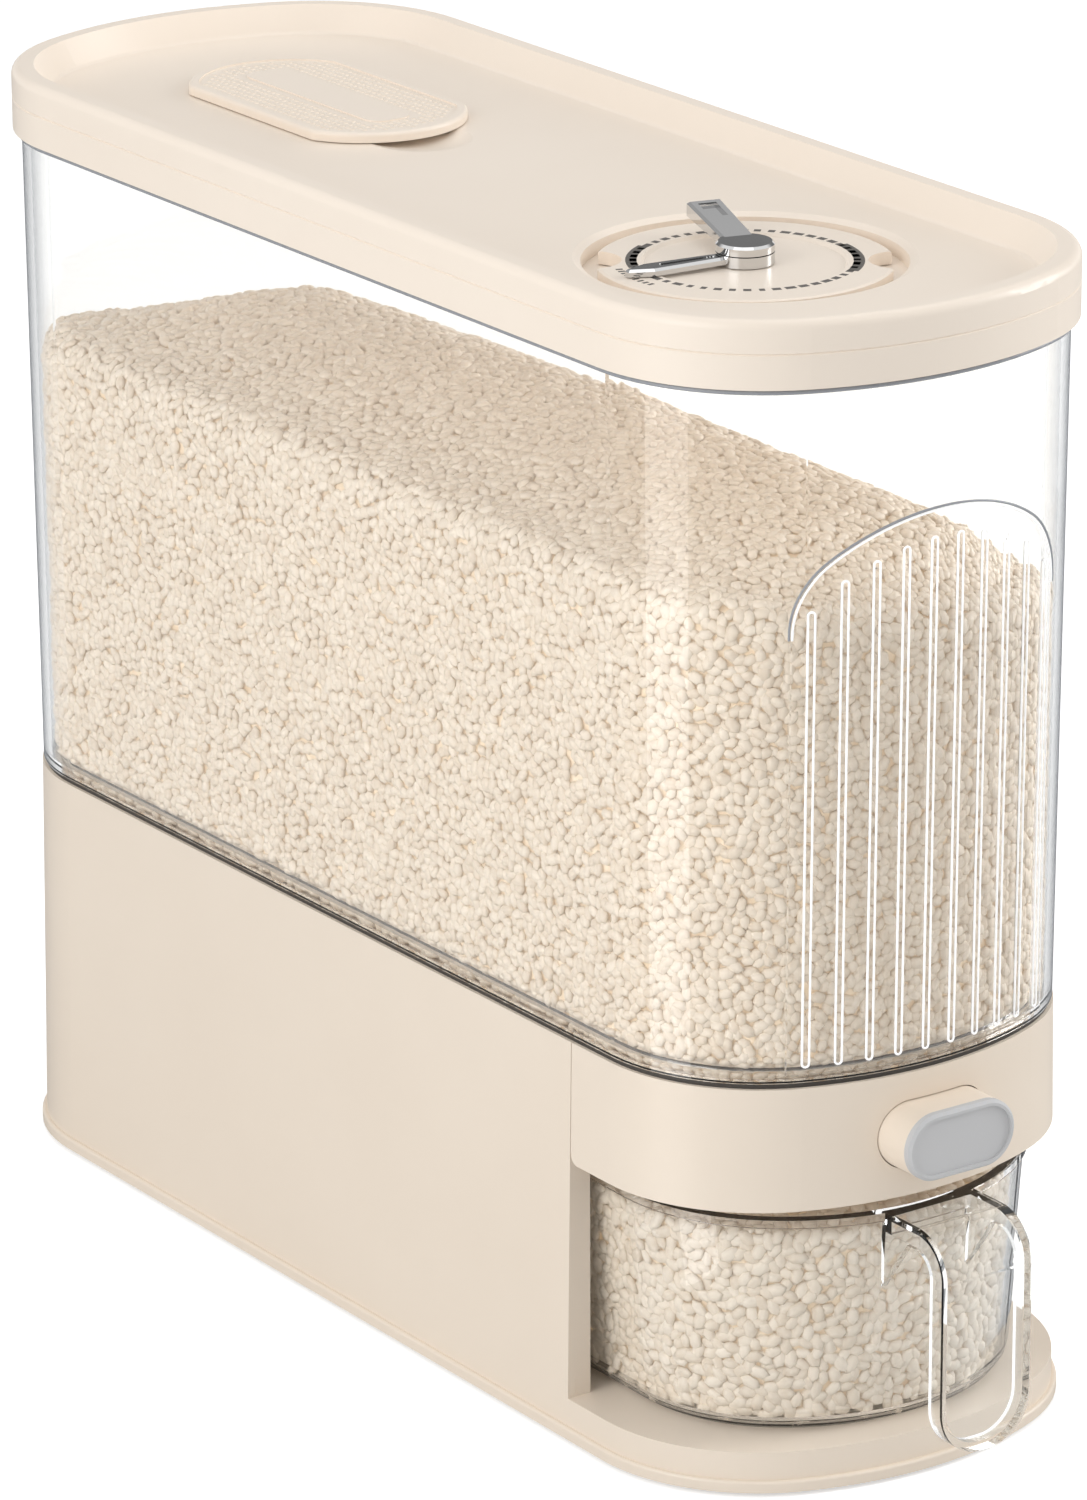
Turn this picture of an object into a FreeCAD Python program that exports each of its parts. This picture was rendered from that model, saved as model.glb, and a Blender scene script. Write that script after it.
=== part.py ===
"""Countertop rice dispenser: clear tank on a moulded base, with a measuring cup that draws out below.

X runs across the width, Y along the length with the front at -Y, and Z up from the floor.
Every outline seen from above is a concentric copy of the lid's: straight sides, round corners and
slightly bowed ends, given by how far it lies inside the lid.
"""
import FreeCAD, Part
import math
import operator
import os

import Sketcher
from FreeCAD import Placement, Rotation, Vector

SIZES = {
    # the lid's outline, which all other outlines follow
    "lid_half_width": 73.0,
    "lid_half_length": 195.0,
    "corner_radius": 53.0,
    "end_bow": 4.0,
    "handle_reach": 20.0,
    # levels above the floor
    "foot_height": 1.2,
    "deck_level": 12.5,
    "bay_level": 82.0,
    "base_level": 117.0,
    "lid_height": 18.5,
    "lid_upper_height": 9.0,
    "overall_height": 330.0,
    # general gaps between pieces
    "small_gap": 0.3,
    "running_gap": 0.05,
    # base
    "flange_inset": 1.0,
    "flange_thickness": 3.3,
    "flange_edge": 0.8,
    "base_bottom_inset": 2.4,
    "base_top_inset": 3.9,
    "base_wall": 2.6,
    "deck_thickness": 2.6,
    "rim_inset": 9.5,
    "rim_thickness": 3.5,
    "plate_rim_height": 3.0,
    "plate_rim_wall": 1.6,
    "foot_radius": 6.8,
    "foot_recess": 1.0,
    "foot_side_inset": 27.0,
    "foot_end_inset": 45.0,
    "screw_radius": 1.4,
    "screw_head_radius": 3.2,
    "screw_head_height": 1.6,
    "screw_length": 6.2,
    "boss_radius": 4.2,
    "screw_side_inset": 8.5,
    "rear_screw_inset": 50.0,
    "front_screw_side_inset": 45.0,
    "front_screw_end_inset": 25.0,
    # bay for the cup
    "bay_setback": 75.0,
    "pillar_width": 8.5,
    "bay_depth": 50.0,
    "bay_corner": 20.0,
    "liner_wall": 1.6,
    "band_wall": 2.6,
    "band_corner": 3.0,
    # rice outlet, gate and button
    "guide_thickness": 2.0,
    "guide_overhang": 4.0,
    "outlet_setback": 60.0,
    "outlet_half_width": 28.0,
    "outlet_half_length": 4.0,
    "outlet_corner": 2.0,
    "gate_side_lap": 4.0,
    "gate_thickness": 1.6,
    "gate_corner": 6.0,
    "gate_setback": 11.0,
    "gate_rear_lap": 19.0,
    "gate_travel": 10.0,
    "rail_width": 2.4,
    "spring_room": 18.0,
    "bridge_thickness": 2.0,
    "bridge_rise": 0.7,
    "bracket_half_width": 14.0,
    "bracket_rise": 4.5,
    "spring_x": 8.5,
    "spring_radius": 3.0,
    "spring_wire": 0.35,
    "spring_turns": 6.0,
    "spring_post_radius": 1.6,
    "spring_post_length": 12.0,
    "button_half_width": 18.0,
    "button_half_height": 9.5,
    "button_reach": 12.0,
    "button_flange": 1.0,
    "button_setback": 2.4,
    "pad_thickness": 2.4,
    "pad_rim": 1.6,
    "pad_dish": 0.7,
    # hopper under the tank
    "hopper_wall": 2.0,
    "hopper_flange_gap": 0.7,
    "hopper_flange_thickness": 2.5,
    "hopper_lip": 4.0,
    "funnel_side_inset": 13.0,
    "funnel_front_inset": 32.0,
    "funnel_back_inset": 15.0,
    "funnel_corner": 40.0,
    # tank
    "seal_thickness": 1.6,
    "seal_inset": 5.0,
    "seal_width": 2.0,
    "tank_bottom_inset": 4.2,
    "tank_top_inset": 2.5,
    "tank_wall": 2.4,
    "tank_flange_thickness": 3.0,
    "arch_side_inset": 30.0,
    "arch_foot_gap": 2.4,
    "arch_headroom": 37.5,
    "arch_rise": 30.0,
    "arch_corner": 24.0,
    "arch_relief": 0.7,
    "rib_relief": 1.3,
    "rib_width": 1.8,
    "rib_side_gap": 4.3,
    "rib_foot_gap": 4.9,
    "rib_top_gap": 7.0,
    # measuring cup
    "cup_headroom": 4.5,
    "cup_side_gap": 1.7,
    "cup_setback": 5.0,
    "cup_rear_gap": 8.0,
    "cup_front_corner": 50.0,
    "cup_rear_corner": 18.0,
    "cup_front_bow": 4.0,
    "cup_rear_bow": 0.6,
    "cup_taper": 4.0,
    "cup_wall": 2.2,
    "cup_bottom_round": 6.0,
    "cup_lip": 0.8,
    "cup_lip_height": 2.4,
    "handle_half_width": 15.0,
    "handle_depth": 6.0,
    "handle_skin": 2.2,
    "handle_bend": 13.0,
    "handle_clearance": 1.5,
    "handle_end_round": 13.5,
    "gusset_drop": 16.0,
    "gusset_reach": 9.0,
    "gusset_thickness": 2.0,
    # lid
    "lid_wall": 2.2,
    "lid_edge_round": 2.6,
    "parting_chamfer": 0.35,
    "tray_rim_width": 6.5,
    "tray_slope": 5.0,
    "tray_depth": 8.0,
    "tray_round": 1.8,
    "skirt_gap": 0.5,
    "web_depth": 12.5,
    "web_thickness": 1.5,
    "plug_gap": 3.3,
    "plug_wall": 2.0,
    "plug_depth": 8.0,
    "plug_lip": 1.2,
    "lid_seal_drop": 2.0,
    "lid_seal_height": 3.5,
    # desiccant compartment
    "cover_setback": 97.0,
    "cover_half_width": 26.5,
    "cover_half_length": 49.0,
    "cover_corner": 5.0,
    "cover_bow": 13.0,
    "cover_thickness": 2.8,
    "cover_edge_round": 1.1,
    "cover_border": 3.0,
    "cover_dish": 0.5,
    "cover_bar_half_width": 7.0,
    "cover_bar_half_length": 35.0,
    "cover_bar_corner": 5.0,
    "cover_bar_height": 0.4,
    "cover_plug_height": 3.0,
    "cover_plug_wall": 1.2,
    "box_side_margin": 6.5,
    "box_end_margin": 15.0,
    "box_corner": 5.0,
    "box_depth": 20.0,
    "box_wall": 1.5,
    "box_flange_inset": 1.6,
    "box_flange_thickness": 1.2,
    "vent_width": 2.0,
    "vent_pitch": 5.0,
    "vent_count": 11,
    "vent_margin": 4.0,
    "notch_inset": 1.5,
    "notch_radius": 15.0,
    "notch_depth": 2.2,
    # date dial
    "dial_setback": 91.0,
    "dial_radius": 40.4,
    "dial_thickness": 3.6,
    "dial_border": 13.4,
    "dial_dish": 0.8,
    "dial_boss_radius": 6.0,
    "well_gap": 3.8,
    "well_depth": 5.0,
    "well_floor": 2.5,
    "well_wall": 2.2,
    "well_slope": 2.2,
    "finger_radius": 9.0,
    "finger_overhang": 1.6,
    "finger_angle": -36.0,
    "retainer_radius": 10.0,
    "retainer_thickness": 1.6,
    "hub_radius": 8.0,
    "pin_radius": 2.5,
    "hand_thickness": 2.0,
    "lower_hub_height": 3.0,
    "lower_hand_length": 36.5,
    "lower_hand_half_width": 3.4,
    "lower_hand_root": 2.4,
    "lower_hand_tip": 1.0,
    "lower_hand_taper": 6.8,
    "lower_hand_angle": 174.0,
    "lower_groove_width": 1.6,
    "lower_groove_margin": 3.4,
    "upper_hub_height": 2.6,
    "upper_hand_rise": 3.5,
    "upper_hand_lift": 2.0,
    "upper_hand_length": 31.0,
    "upper_hand_half_width": 5.0,
    "upper_hand_waist": 4.6,
    "upper_hand_root": 5.0,
    "upper_panel_length": 9.3,
    "upper_panel_margin": 2.4,
    "upper_hand_angle": 74.6,
    "hand_edge": 0.7,
    "hand_recess": 0.9,
}

RIB_COUNT = 10
ROUND_STEPS = 4

os.makedirs("parts", exist_ok=True)
doc = FreeCAD.newDocument("RiceDispenser")


# ---- sizes -------------------------------------------------------------------------------------

OPERATIONS = {"+": operator.add, "-": operator.sub, "*": operator.mul, "/": operator.truediv}


class Size:
    """A size worked out from the sheet: the formula that objects are bound to and its present value."""

    def __init__(self, formula, value):
        self.formula = formula
        self.value = value

    def __add__(self, other):
        return combine(self, "+", other)

    def __radd__(self, other):
        return combine(other, "+", self)

    def __sub__(self, other):
        return combine(self, "-", other)

    def __rsub__(self, other):
        return combine(other, "-", self)

    def __mul__(self, other):
        return combine(self, "*", other)

    def __rmul__(self, other):
        return combine(other, "*", self)

    def __truediv__(self, other):
        return combine(self, "/", other)

    def __neg__(self):
        return combine(0, "-", self)

    def root(self):
        return Size(f"sqrt({self.formula})", math.sqrt(self.value))


def as_size(amount):
    """A plain number as a size."""
    if isinstance(amount, Size):
        return amount
    return Size(repr(float(amount)), float(amount))


def combine(left, sign, right):
    """The sum, difference, product or quotient of two sizes."""
    left = as_size(left)
    right = as_size(right)
    return Size(f"({left.formula} {sign} {right.formula})", OPERATIONS[sign](left.value, right.value))


class Sheet:
    """The spreadsheet of driving sizes, read as attributes."""

    def __init__(self, sizes):
        self.cells = doc.addObject("Spreadsheet::Sheet", "Sizes")
        for row, (name, number) in enumerate(sizes.items(), 1):
            self.cells.set(f"A{row}", name)
            self.cells.set(f"B{row}", str(number))
            self.cells.setAlias(f"B{row}", name)
        doc.recompute()

    def __getattr__(self, name):
        return Size(f"Sizes.{name}", float(self.cells.get(name)))


size = Sheet(SIZES)


def bind(item, prop, amount):
    """Bind a property of a document object to a size."""
    item.setExpression(prop, as_size(amount).formula)


# ---- sketches ----------------------------------------------------------------------------------

AXIS_SIGN = {"XY_Plane": 1, "XZ_Plane": -1, "YZ_Plane": 1}
START, END, CENTRE = range(1, 4)
ROOT, Y_AXIS = range(-1, -3, -1)
ORIGIN = (ROOT, START)


def place(sketch, point, x, y):
    """Hold a point of a sketch at x, y from its origin."""
    for kind, amount in (("DistanceX", x), ("DistanceY", y)):
        hold(sketch, kind, ORIGIN, point, amount)


def hold(sketch, kind, first, second, amount):
    """Bind the distance along one axis between two points of a sketch."""
    amount = as_size(amount)
    index = sketch.addConstraint(Sketcher.Constraint(kind, *first, *second, amount.value))
    bind(sketch, f"Constraints[{index}]", amount)


def hold_radius(sketch, edge, amount):
    """Bind the radius of a sketch's arc or circle."""
    amount = as_size(amount)
    index = sketch.addConstraint(Sketcher.Constraint("Radius", edge, amount.value))
    bind(sketch, f"Constraints[{index}]", amount)


def point(x, y):
    """A sketch point at the present value of two sizes."""
    return Vector(as_size(x).value, as_size(y).value, 0)


def arc(x, y, radius, start, end):
    """A sketch arc, counter-clockwise between two angles in degrees."""
    circle = Part.Circle(point(x, y), Vector(0, 0, 1), as_size(radius).value)
    return Part.ArcOfCircle(circle, math.radians(start), math.radians(end))


def draw_polygon(sketch, corners):
    """A closed polygon with every corner bound."""
    first = sketch.GeometryCount
    count = len(corners)
    for index in range(count):
        ends = corners[index], corners[(index + 1) % count]
        sketch.addGeometry(Part.LineSegment(point(*ends[0]), point(*ends[1])), False)
    for index in range(count):
        following = first + (index + 1) % count
        sketch.addConstraint(Sketcher.Constraint("Coincident", first + index, END, following, START))
        place(sketch, (first + index, START), *corners[index])


def draw_box(sketch, low_x, low_y, high_x, high_y):
    """A rectangle between two corners."""
    draw_polygon(sketch, [(low_x, low_y), (high_x, low_y), (high_x, high_y), (low_x, high_y)])


def draw_circle(sketch, x, y, radius):
    """A circle with its centre and radius bound."""
    edge = sketch.addGeometry(
        Part.Circle(point(x, y), Vector(0, 0, 1), as_size(radius).value), False)
    place(sketch, (edge, CENTRE), x, y)
    hold_radius(sketch, edge, radius)


def draw_slot(sketch, x, y, half_length, radius, upright=False):
    """A slot with round ends, along the sketch's x or y."""
    turn = 90 if upright else 0
    reach = half_length - radius
    step = (0, reach) if upright else (reach, 0)
    far = (x + step[0], y + step[1])
    near = (x - step[0], y - step[1])
    first = sketch.addGeometry(arc(*far, radius, turn - 90, turn + 90), False)
    second = sketch.addGeometry(arc(*near, radius, turn + 90, turn + 270), False)
    ends = sketch.Geometry[first], sketch.Geometry[second]
    third = sketch.addGeometry(Part.LineSegment(ends[0].EndPoint, ends[1].StartPoint), False)
    fourth = sketch.addGeometry(Part.LineSegment(ends[1].EndPoint, ends[0].StartPoint), False)
    chain = [first, third, second, fourth]
    for index, edge in enumerate(chain):
        sketch.addConstraint(
            Sketcher.Constraint("Tangent", edge, END, chain[(index + 1) % 4], START))
    place(sketch, (first, CENTRE), *far)
    place(sketch, (second, CENTRE), *near)
    hold_radius(sketch, first, radius)


class End:
    """One end of an outline: how far along y it reaches, its corners' radius and how much it bows."""

    def __init__(self, reach, corner, bow):
        self.reach = reach
        self.corner = corner
        self.bow = bow

    def inset(self, amount):
        return End(self.reach - amount, self.corner - amount, self.bow)

    def swing(self, half_width):
        """Radius from the bow's centre to a corner's centre."""
        across = half_width - self.corner
        return (across * across + self.bow * self.bow) / (2 * self.bow)


def draw_outline(sketch, half_width, rear, front, centre_y=0):
    """A rounded outline with straight sides and two bowed ends, front end at -y."""
    edges = []
    centres = []
    for end, turn in ((rear, 0), (front, 180)):
        sign = 1 if turn == 0 else -1
        across = half_width - end.corner
        swing = end.swing(half_width)
        corner_y = centre_y + sign * (end.reach - end.bow - end.corner)
        bow_y = centre_y + sign * (end.reach - end.corner - swing)
        lean = math.degrees(math.asin(across.value / swing.value))
        edges.append(arc(sign * across, corner_y, end.corner, turn, turn + 90 - lean))
        edges.append(arc(0, bow_y, swing + end.corner, turn + 90 - lean, turn + 90 + lean))
        edges.append(arc(-sign * across, corner_y, end.corner, turn + 90 + lean, turn + 180))
        centres.append((bow_y, swing + end.corner, end.corner))
    rear_edges, front_edges = edges[:3], edges[3:]
    left = Part.LineSegment(rear_edges[2].EndPoint, front_edges[0].StartPoint)
    right = Part.LineSegment(front_edges[2].EndPoint, rear_edges[0].StartPoint)
    chain = [sketch.addGeometry(edge, False) for edge in (*rear_edges, left, *front_edges, right)]
    for index, edge in enumerate(chain):
        following = chain[(index + 1) % len(chain)]
        sketch.addConstraint(Sketcher.Constraint("Tangent", edge, END, following, START))
    for side, sign in ((chain[3], -1), (chain[7], 1)):
        sketch.addConstraint(Sketcher.Constraint("Vertical", side))
        hold(sketch, "DistanceX", ORIGIN, (side, START), sign * half_width)
    for start, (bow_y, bow_radius, corner) in zip((0, 4), centres):
        bow_edge = chain[start + 1]
        sketch.addConstraint(Sketcher.Constraint("PointOnObject", bow_edge, CENTRE, Y_AXIS))
        hold(sketch, "DistanceY", ORIGIN, (bow_edge, CENTRE), bow_y)
        hold_radius(sketch, bow_edge, bow_radius)
        hold_radius(sketch, chain[start], corner)
        hold_radius(sketch, chain[start + 2], corner)


def draw_rounded_box(sketch, half_width, half_length, corner, centre_y=0):
    """A rectangle with round corners, centred on the sketch's y axis."""
    across = half_width - corner
    along = half_length - corner
    turns = ((across, centre_y + along, 0), (-across, centre_y + along, 90),
             (-across, centre_y - along, 180), (across, centre_y - along, 270))
    corners = [arc(x, y, corner, turn, turn + 90) for x, y, turn in turns]
    chain = []
    for index, bend in enumerate(corners):
        following = corners[(index + 1) % 4]
        chain.append(sketch.addGeometry(bend, False))
        chain.append(sketch.addGeometry(Part.LineSegment(bend.EndPoint, following.StartPoint), False))
    for index, edge in enumerate(chain):
        following = chain[(index + 1) % len(chain)]
        sketch.addConstraint(Sketcher.Constraint("Tangent", edge, END, following, START))
    for index, (x, y, turn) in enumerate(turns):
        place(sketch, (chain[2 * index], CENTRE), x, y)
    hold_radius(sketch, chain[0], corner)


def lid_end():
    """Both ends of the lid's outline."""
    return End(size.lid_half_length, size.corner_radius, size.end_bow)


def draw_plan(sketch, inset):
    """The lid's outline moved inwards."""
    end = lid_end().inset(inset)
    draw_outline(sketch, size.lid_half_width - inset, end, end)


def draw_bowed_end(sketch, half_width, end, straight_y, front=True):
    """One bowed end with its sides, closed by a straight line across; the end faces -y or +y."""
    sign = -1 if front else 1
    turn = 180 if front else 0
    across = half_width - end.corner
    swing = end.swing(half_width)
    corner_y = sign * (end.reach - end.bow - end.corner)
    bow_y = sign * (end.reach - end.corner - swing)
    lean = math.degrees(math.asin(across.value / swing.value))
    bends = [arc(sign * across, corner_y, end.corner, turn, turn + 90 - lean),
             arc(0, bow_y, swing + end.corner, turn + 90 - lean, turn + 90 + lean),
             arc(-sign * across, corner_y, end.corner, turn + 90 + lean, turn + 180)]
    far = point(-sign * half_width, straight_y)
    near = point(sign * half_width, straight_y)
    lines = [Part.LineSegment(bends[2].EndPoint, far), Part.LineSegment(far, near),
             Part.LineSegment(near, bends[0].StartPoint)]
    chain = [sketch.addGeometry(edge, False) for edge in (*bends, *lines)]
    for index, kind in enumerate(("Tangent", "Tangent", "Tangent", "Coincident", "Coincident", "Tangent")):
        following = chain[(index + 1) % len(chain)]
        sketch.addConstraint(Sketcher.Constraint(kind, chain[index], END, following, START))
    place(sketch, (chain[3], END), -sign * half_width, straight_y)
    place(sketch, (chain[5], START), sign * half_width, straight_y)
    sketch.addConstraint(Sketcher.Constraint("Vertical", chain[3]))
    sketch.addConstraint(Sketcher.Constraint("Vertical", chain[5]))
    sketch.addConstraint(Sketcher.Constraint("PointOnObject", chain[1], CENTRE, Y_AXIS))
    hold(sketch, "DistanceY", ORIGIN, (chain[1], CENTRE), bow_y)
    hold_radius(sketch, chain[1], swing + end.corner)
    hold_radius(sketch, chain[0], end.corner)
    hold_radius(sketch, chain[2], end.corner)


def draw_front_plan(sketch, inset, rear_y):
    """The front of the lid's outline moved inwards, closed by a straight line across at rear_y."""
    draw_bowed_end(sketch, size.lid_half_width - inset, lid_end().inset(inset), rear_y)


def draw_hook(sketch, start, reach, top, bottom, bend, depth):
    """A strip of one depth that leaves a wall at the top, bends down and ends square."""
    centre_x = reach + bend
    centre_y = top - bend
    inner = reach + depth
    outer_bend = arc(centre_x, centre_y, bend, 90, 180)
    inner_bend = arc(centre_x, centre_y, bend - depth, 90, 180)
    corners = [point(start, top), point(reach, bottom), point(inner, bottom), point(start, top - depth)]
    edges = [Part.LineSegment(corners[0], outer_bend.StartPoint), outer_bend,
             Part.LineSegment(outer_bend.EndPoint, corners[1]),
             Part.LineSegment(corners[1], corners[2]),
             Part.LineSegment(corners[2], inner_bend.EndPoint), inner_bend,
             Part.LineSegment(inner_bend.StartPoint, corners[3]),
             Part.LineSegment(corners[3], corners[0])]
    chain = [sketch.addGeometry(edge, False) for edge in edges]
    joints = (("Tangent", 0, END, 1, START), ("Tangent", 1, END, 2, START),
              ("Coincident", 2, END, 3, START), ("Coincident", 3, END, 4, START),
              ("Tangent", 4, END, 5, END), ("Tangent", 5, START, 6, START),
              ("Coincident", 6, END, 7, START), ("Coincident", 7, END, 0, START))
    for kind, first, first_end, second, second_end in joints:
        sketch.addConstraint(
            Sketcher.Constraint(kind, chain[first], first_end, chain[second], second_end))
    place(sketch, (chain[0], START), start, top)
    place(sketch, (chain[3], START), reach, bottom)
    place(sketch, (chain[3], END), inner, bottom)
    place(sketch, (chain[7], START), start, top - depth)
    place(sketch, (chain[1], CENTRE), centre_x, centre_y)
    place(sketch, (chain[5], CENTRE), centre_x, centre_y)


# ---- pieces ------------------------------------------------------------------------------------

NODES = []


class Piece:
    """One part-design body whose features are added one after another."""

    def __init__(self, label, is_node=True):
        self.label = label
        self.body = doc.addObject("PartDesign::Body", f"{label}_body")
        self.body.Label = label
        self.steps = 0
        if is_node:
            NODES.append(self.body)

    def name(self, kind):
        self.steps += 1
        return f"{self.label}_{kind}_{self.steps}"

    def sketch(self, plane="XY_Plane", at=0):
        """An empty sketch on one of the body's planes, moved to a place along the axis across it."""
        sketch = self.body.newObject("Sketcher::SketchObject", self.name("sketch"))
        support = next(item for item in self.body.Origin.OriginFeatures if item.Role == plane)
        sketch.AttachmentSupport = [(support, "")]
        sketch.MapMode = "FlatFace"
        bind(sketch, "AttachmentOffset.Base.z", AXIS_SIGN[plane] * as_size(at))
        return sketch

    def pad(self, sketch, length, back=False, both=False):
        """Add material along the sketch's normal, or against it."""
        return self.extrude("Pad", sketch, length, back, both)

    def pocket(self, sketch, length, back=False, both=False):
        """Cut against the sketch's normal, or along it where back is set."""
        return self.extrude("Pocket", sketch, length, back, both)

    def extrude(self, kind, sketch, length, back, both):
        feature = self.body.newObject(f"PartDesign::{kind}", self.name(kind))
        feature.Profile = sketch
        feature.Midplane = both
        feature.Reversed = back
        bind(feature, "Length", length)
        return feature

    def loft(self, sketches, cut=False):
        """Join outlines at different levels by straight flanks."""
        kind = "SubtractiveLoft" if cut else "AdditiveLoft"
        feature = self.body.newObject(f"PartDesign::{kind}", self.name(kind))
        feature.Profile = sketches[0]
        feature.Sections = sketches[1:]
        feature.Ruled = True
        return feature

    def revolve(self, sketch, cut=False):
        """A full turn of a profile about its sketch's vertical axis."""
        kind = "Groove" if cut else "Revolution"
        feature = self.body.newObject(f"PartDesign::{kind}", self.name(kind))
        feature.Profile = sketch
        feature.ReferenceAxis = (sketch, ["V_Axis"])
        feature.Angle = 360
        return feature

    def repeat(self, feature, plane_axis, count, pitch):
        """A straight row of a feature along one of the body's axes."""
        row = self.body.newObject("PartDesign::LinearPattern", self.name("row"))
        row.Originals = [feature]
        axis = next(item for item in self.body.Origin.OriginFeatures if item.Role == plane_axis)
        row.Direction = (axis, [""])
        row.Occurrences = count
        bind(row, "Length", pitch * (count - 1))
        self.body.Tip = row
        return row

    def mirror(self, features, plane="YZ_Plane"):
        """The same features on the other side of one of the body's planes."""
        copy = self.body.newObject("PartDesign::Mirrored", self.name("mirror"))
        copy.Originals = features
        support = next(item for item in self.body.Origin.OriginFeatures if item.Role == plane)
        copy.MirrorPlane = (support, [""])
        self.body.Tip = copy
        return copy

    def soften(self, kind, amount, chosen):
        """Fillet or chamfer the edges of the present shape that a test picks."""
        doc.recompute()
        base = self.body.Tip
        names = [f"Edge{index}" for index, edge in enumerate(base.Shape.Edges, 1) if chosen(edge)]
        feature = self.body.newObject(f"PartDesign::{kind}", self.name(kind))
        feature.Base = (base, names)
        bind(feature, "Radius" if kind == "Fillet" else "Size", amount)
        return feature


def level_edges(level):
    """A test for edges that lie flat at one level."""
    height = as_size(level).value

    def chosen(edge):
        box = edge.BoundBox
        return abs(box.ZMin - height) < 1e-4 and abs(box.ZMax - height) < 1e-4
    return chosen


def outer_level_edges(level, half_width, half_length):
    """A test for the edges of an outline's outer border at one level."""
    flat = level_edges(level)
    width = as_size(half_width).value
    length = as_size(half_length).value

    def chosen(edge):
        if not flat(edge):
            return False
        middle = edge.valueAt((edge.FirstParameter + edge.LastParameter) / 2)
        near_side = abs(abs(middle.x) - width) < 0.5
        near_end = abs(middle.x) < 0.5 and abs(abs(middle.y) - length) < 0.5
        corner = edge.Curve.TypeId == "Part::GeomCircle" and abs(middle.x) > width * 0.6
        return near_side or near_end or (corner and abs(middle.y) > length * 0.5)
    return chosen


def part_object(kind, name, **bound):
    """A Part object with some of its properties bound to sizes."""
    item = doc.addObject(f"Part::{kind}", name)
    for prop, amount in bound.items():
        bind(item, prop.replace("__", "."), amount)
    return item


def move(item, x=0, y=0, z=0):
    """Bind where a Part object stands."""
    for letter, amount in (("x", x), ("y", y), ("z", z)):
        bind(item, f"Placement.Base.{letter}", amount)


def group(kind, label, shapes, is_node=True):
    """A compound, union, cut or common of several shapes."""
    item = doc.addObject(f"Part::{kind}", f"{label}_{kind.lower()}")
    item.Label = label
    if kind == "Compound":
        item.Links = shapes
    elif kind == "Cut":
        item.Base, item.Tool = shapes
    else:
        item.Shapes = shapes
    if is_node:
        NODES.append(item)
    return item


# ---- shared places -----------------------------------------------------------------------------

flange_top = size.foot_height + size.flange_thickness
tank_bottom = size.base_level + size.seal_thickness
lid_level = size.overall_height - size.lid_height
lid_split = size.overall_height - size.lid_upper_height
tray_level = size.overall_height - size.tray_depth
web_level = size.overall_height - size.web_depth
floor_bottom = web_level + size.web_thickness
tank_top = web_level - size.small_gap
button_level = (size.bay_level + size.base_level) / 2

foot_x = size.lid_half_width - size.foot_side_inset
foot_y = size.lid_half_length - size.foot_end_inset
side_screw_x = size.lid_half_width - size.screw_side_inset
rear_screw_y = size.lid_half_length - size.rear_screw_inset
front_screw_x = size.lid_half_width - size.front_screw_side_inset
front_screw_y = size.lid_half_length - size.front_screw_end_inset

bay_half_width = size.lid_half_width - size.pillar_width
bay_front = size.lid_half_length - size.bay_setback
bay_rear = bay_front - size.bay_depth
guide_rear = bay_rear - size.guide_overhang
outlet_y = size.lid_half_length - size.outlet_setback
gate_half_width = size.outlet_half_width + size.gate_side_lap
gate_front = size.lid_half_length - size.gate_setback
gate_rear = outlet_y - size.outlet_half_length - size.gate_rear_lap
bridge_y = gate_front - size.spring_room

cup_rim_level = size.bay_level - size.cup_headroom
cup_rim_half_width = bay_half_width - size.liner_wall - size.cup_side_gap
cup_rim_front = size.lid_half_length - size.cup_setback
cup_rear = bay_rear + size.cup_rear_gap
handle_bottom = size.deck_level + size.handle_clearance

hopper_flange_inset = size.base_top_inset + size.base_wall + size.hopper_flange_gap
funnel_half_width = size.lid_half_width - size.funnel_side_inset
funnel_front = size.lid_half_length - size.funnel_front_inset
funnel_rear = size.lid_half_length - size.funnel_back_inset

arch_half_width = size.lid_half_width - size.arch_side_inset
arch_bottom = tank_bottom + size.arch_foot_gap
arch_spring = lid_level - size.arch_headroom - size.arch_rise
rib_bottom = tank_bottom + size.rib_foot_gap
rib_pitch = 2 * (arch_half_width - size.rib_side_gap) / (RIB_COUNT - 1)

plug_inset = size.tank_top_inset + size.tank_wall + size.plug_gap
cover_y = size.lid_half_length - size.cover_setback
box_half_width = size.cover_half_width - size.box_side_margin
box_half_length = size.cover_half_length - size.box_end_margin
notch_y = cover_y - size.cover_half_length + size.notch_inset
dial_y = size.lid_half_length - size.dial_setback
dial_dish_radius = size.dial_radius - size.dial_border
finger_offset = size.dial_radius + size.finger_overhang


def base_inset(level):
    """How far the base's drafted side lies inside the lid at a level."""
    share = (level - flange_top) / (size.base_level - flange_top)
    return size.base_bottom_inset + (size.base_top_inset - size.base_bottom_inset) * share


def tank_inset(level):
    """How far the tank's flared side lies inside the lid at a level."""
    share = (level - tank_bottom) / (tank_top - tank_bottom)
    return size.tank_bottom_inset + (size.tank_top_inset - size.tank_bottom_inset) * share


def screw_places():
    """Where the base plate is screwed up into the housing."""
    places = []
    for sign in (-1, 1):
        places.append((sign * front_screw_x, -front_screw_y))
        places.append((sign * side_screw_x, as_size(0)))
        places.append((sign * side_screw_x, rear_screw_y))
    return places


def foot_places():
    """Where the four feet stand."""
    return [(x * foot_x, y * foot_y) for x in (-1, 1) for y in (-1, 1)]


# ---- base --------------------------------------------------------------------------------------

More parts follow.
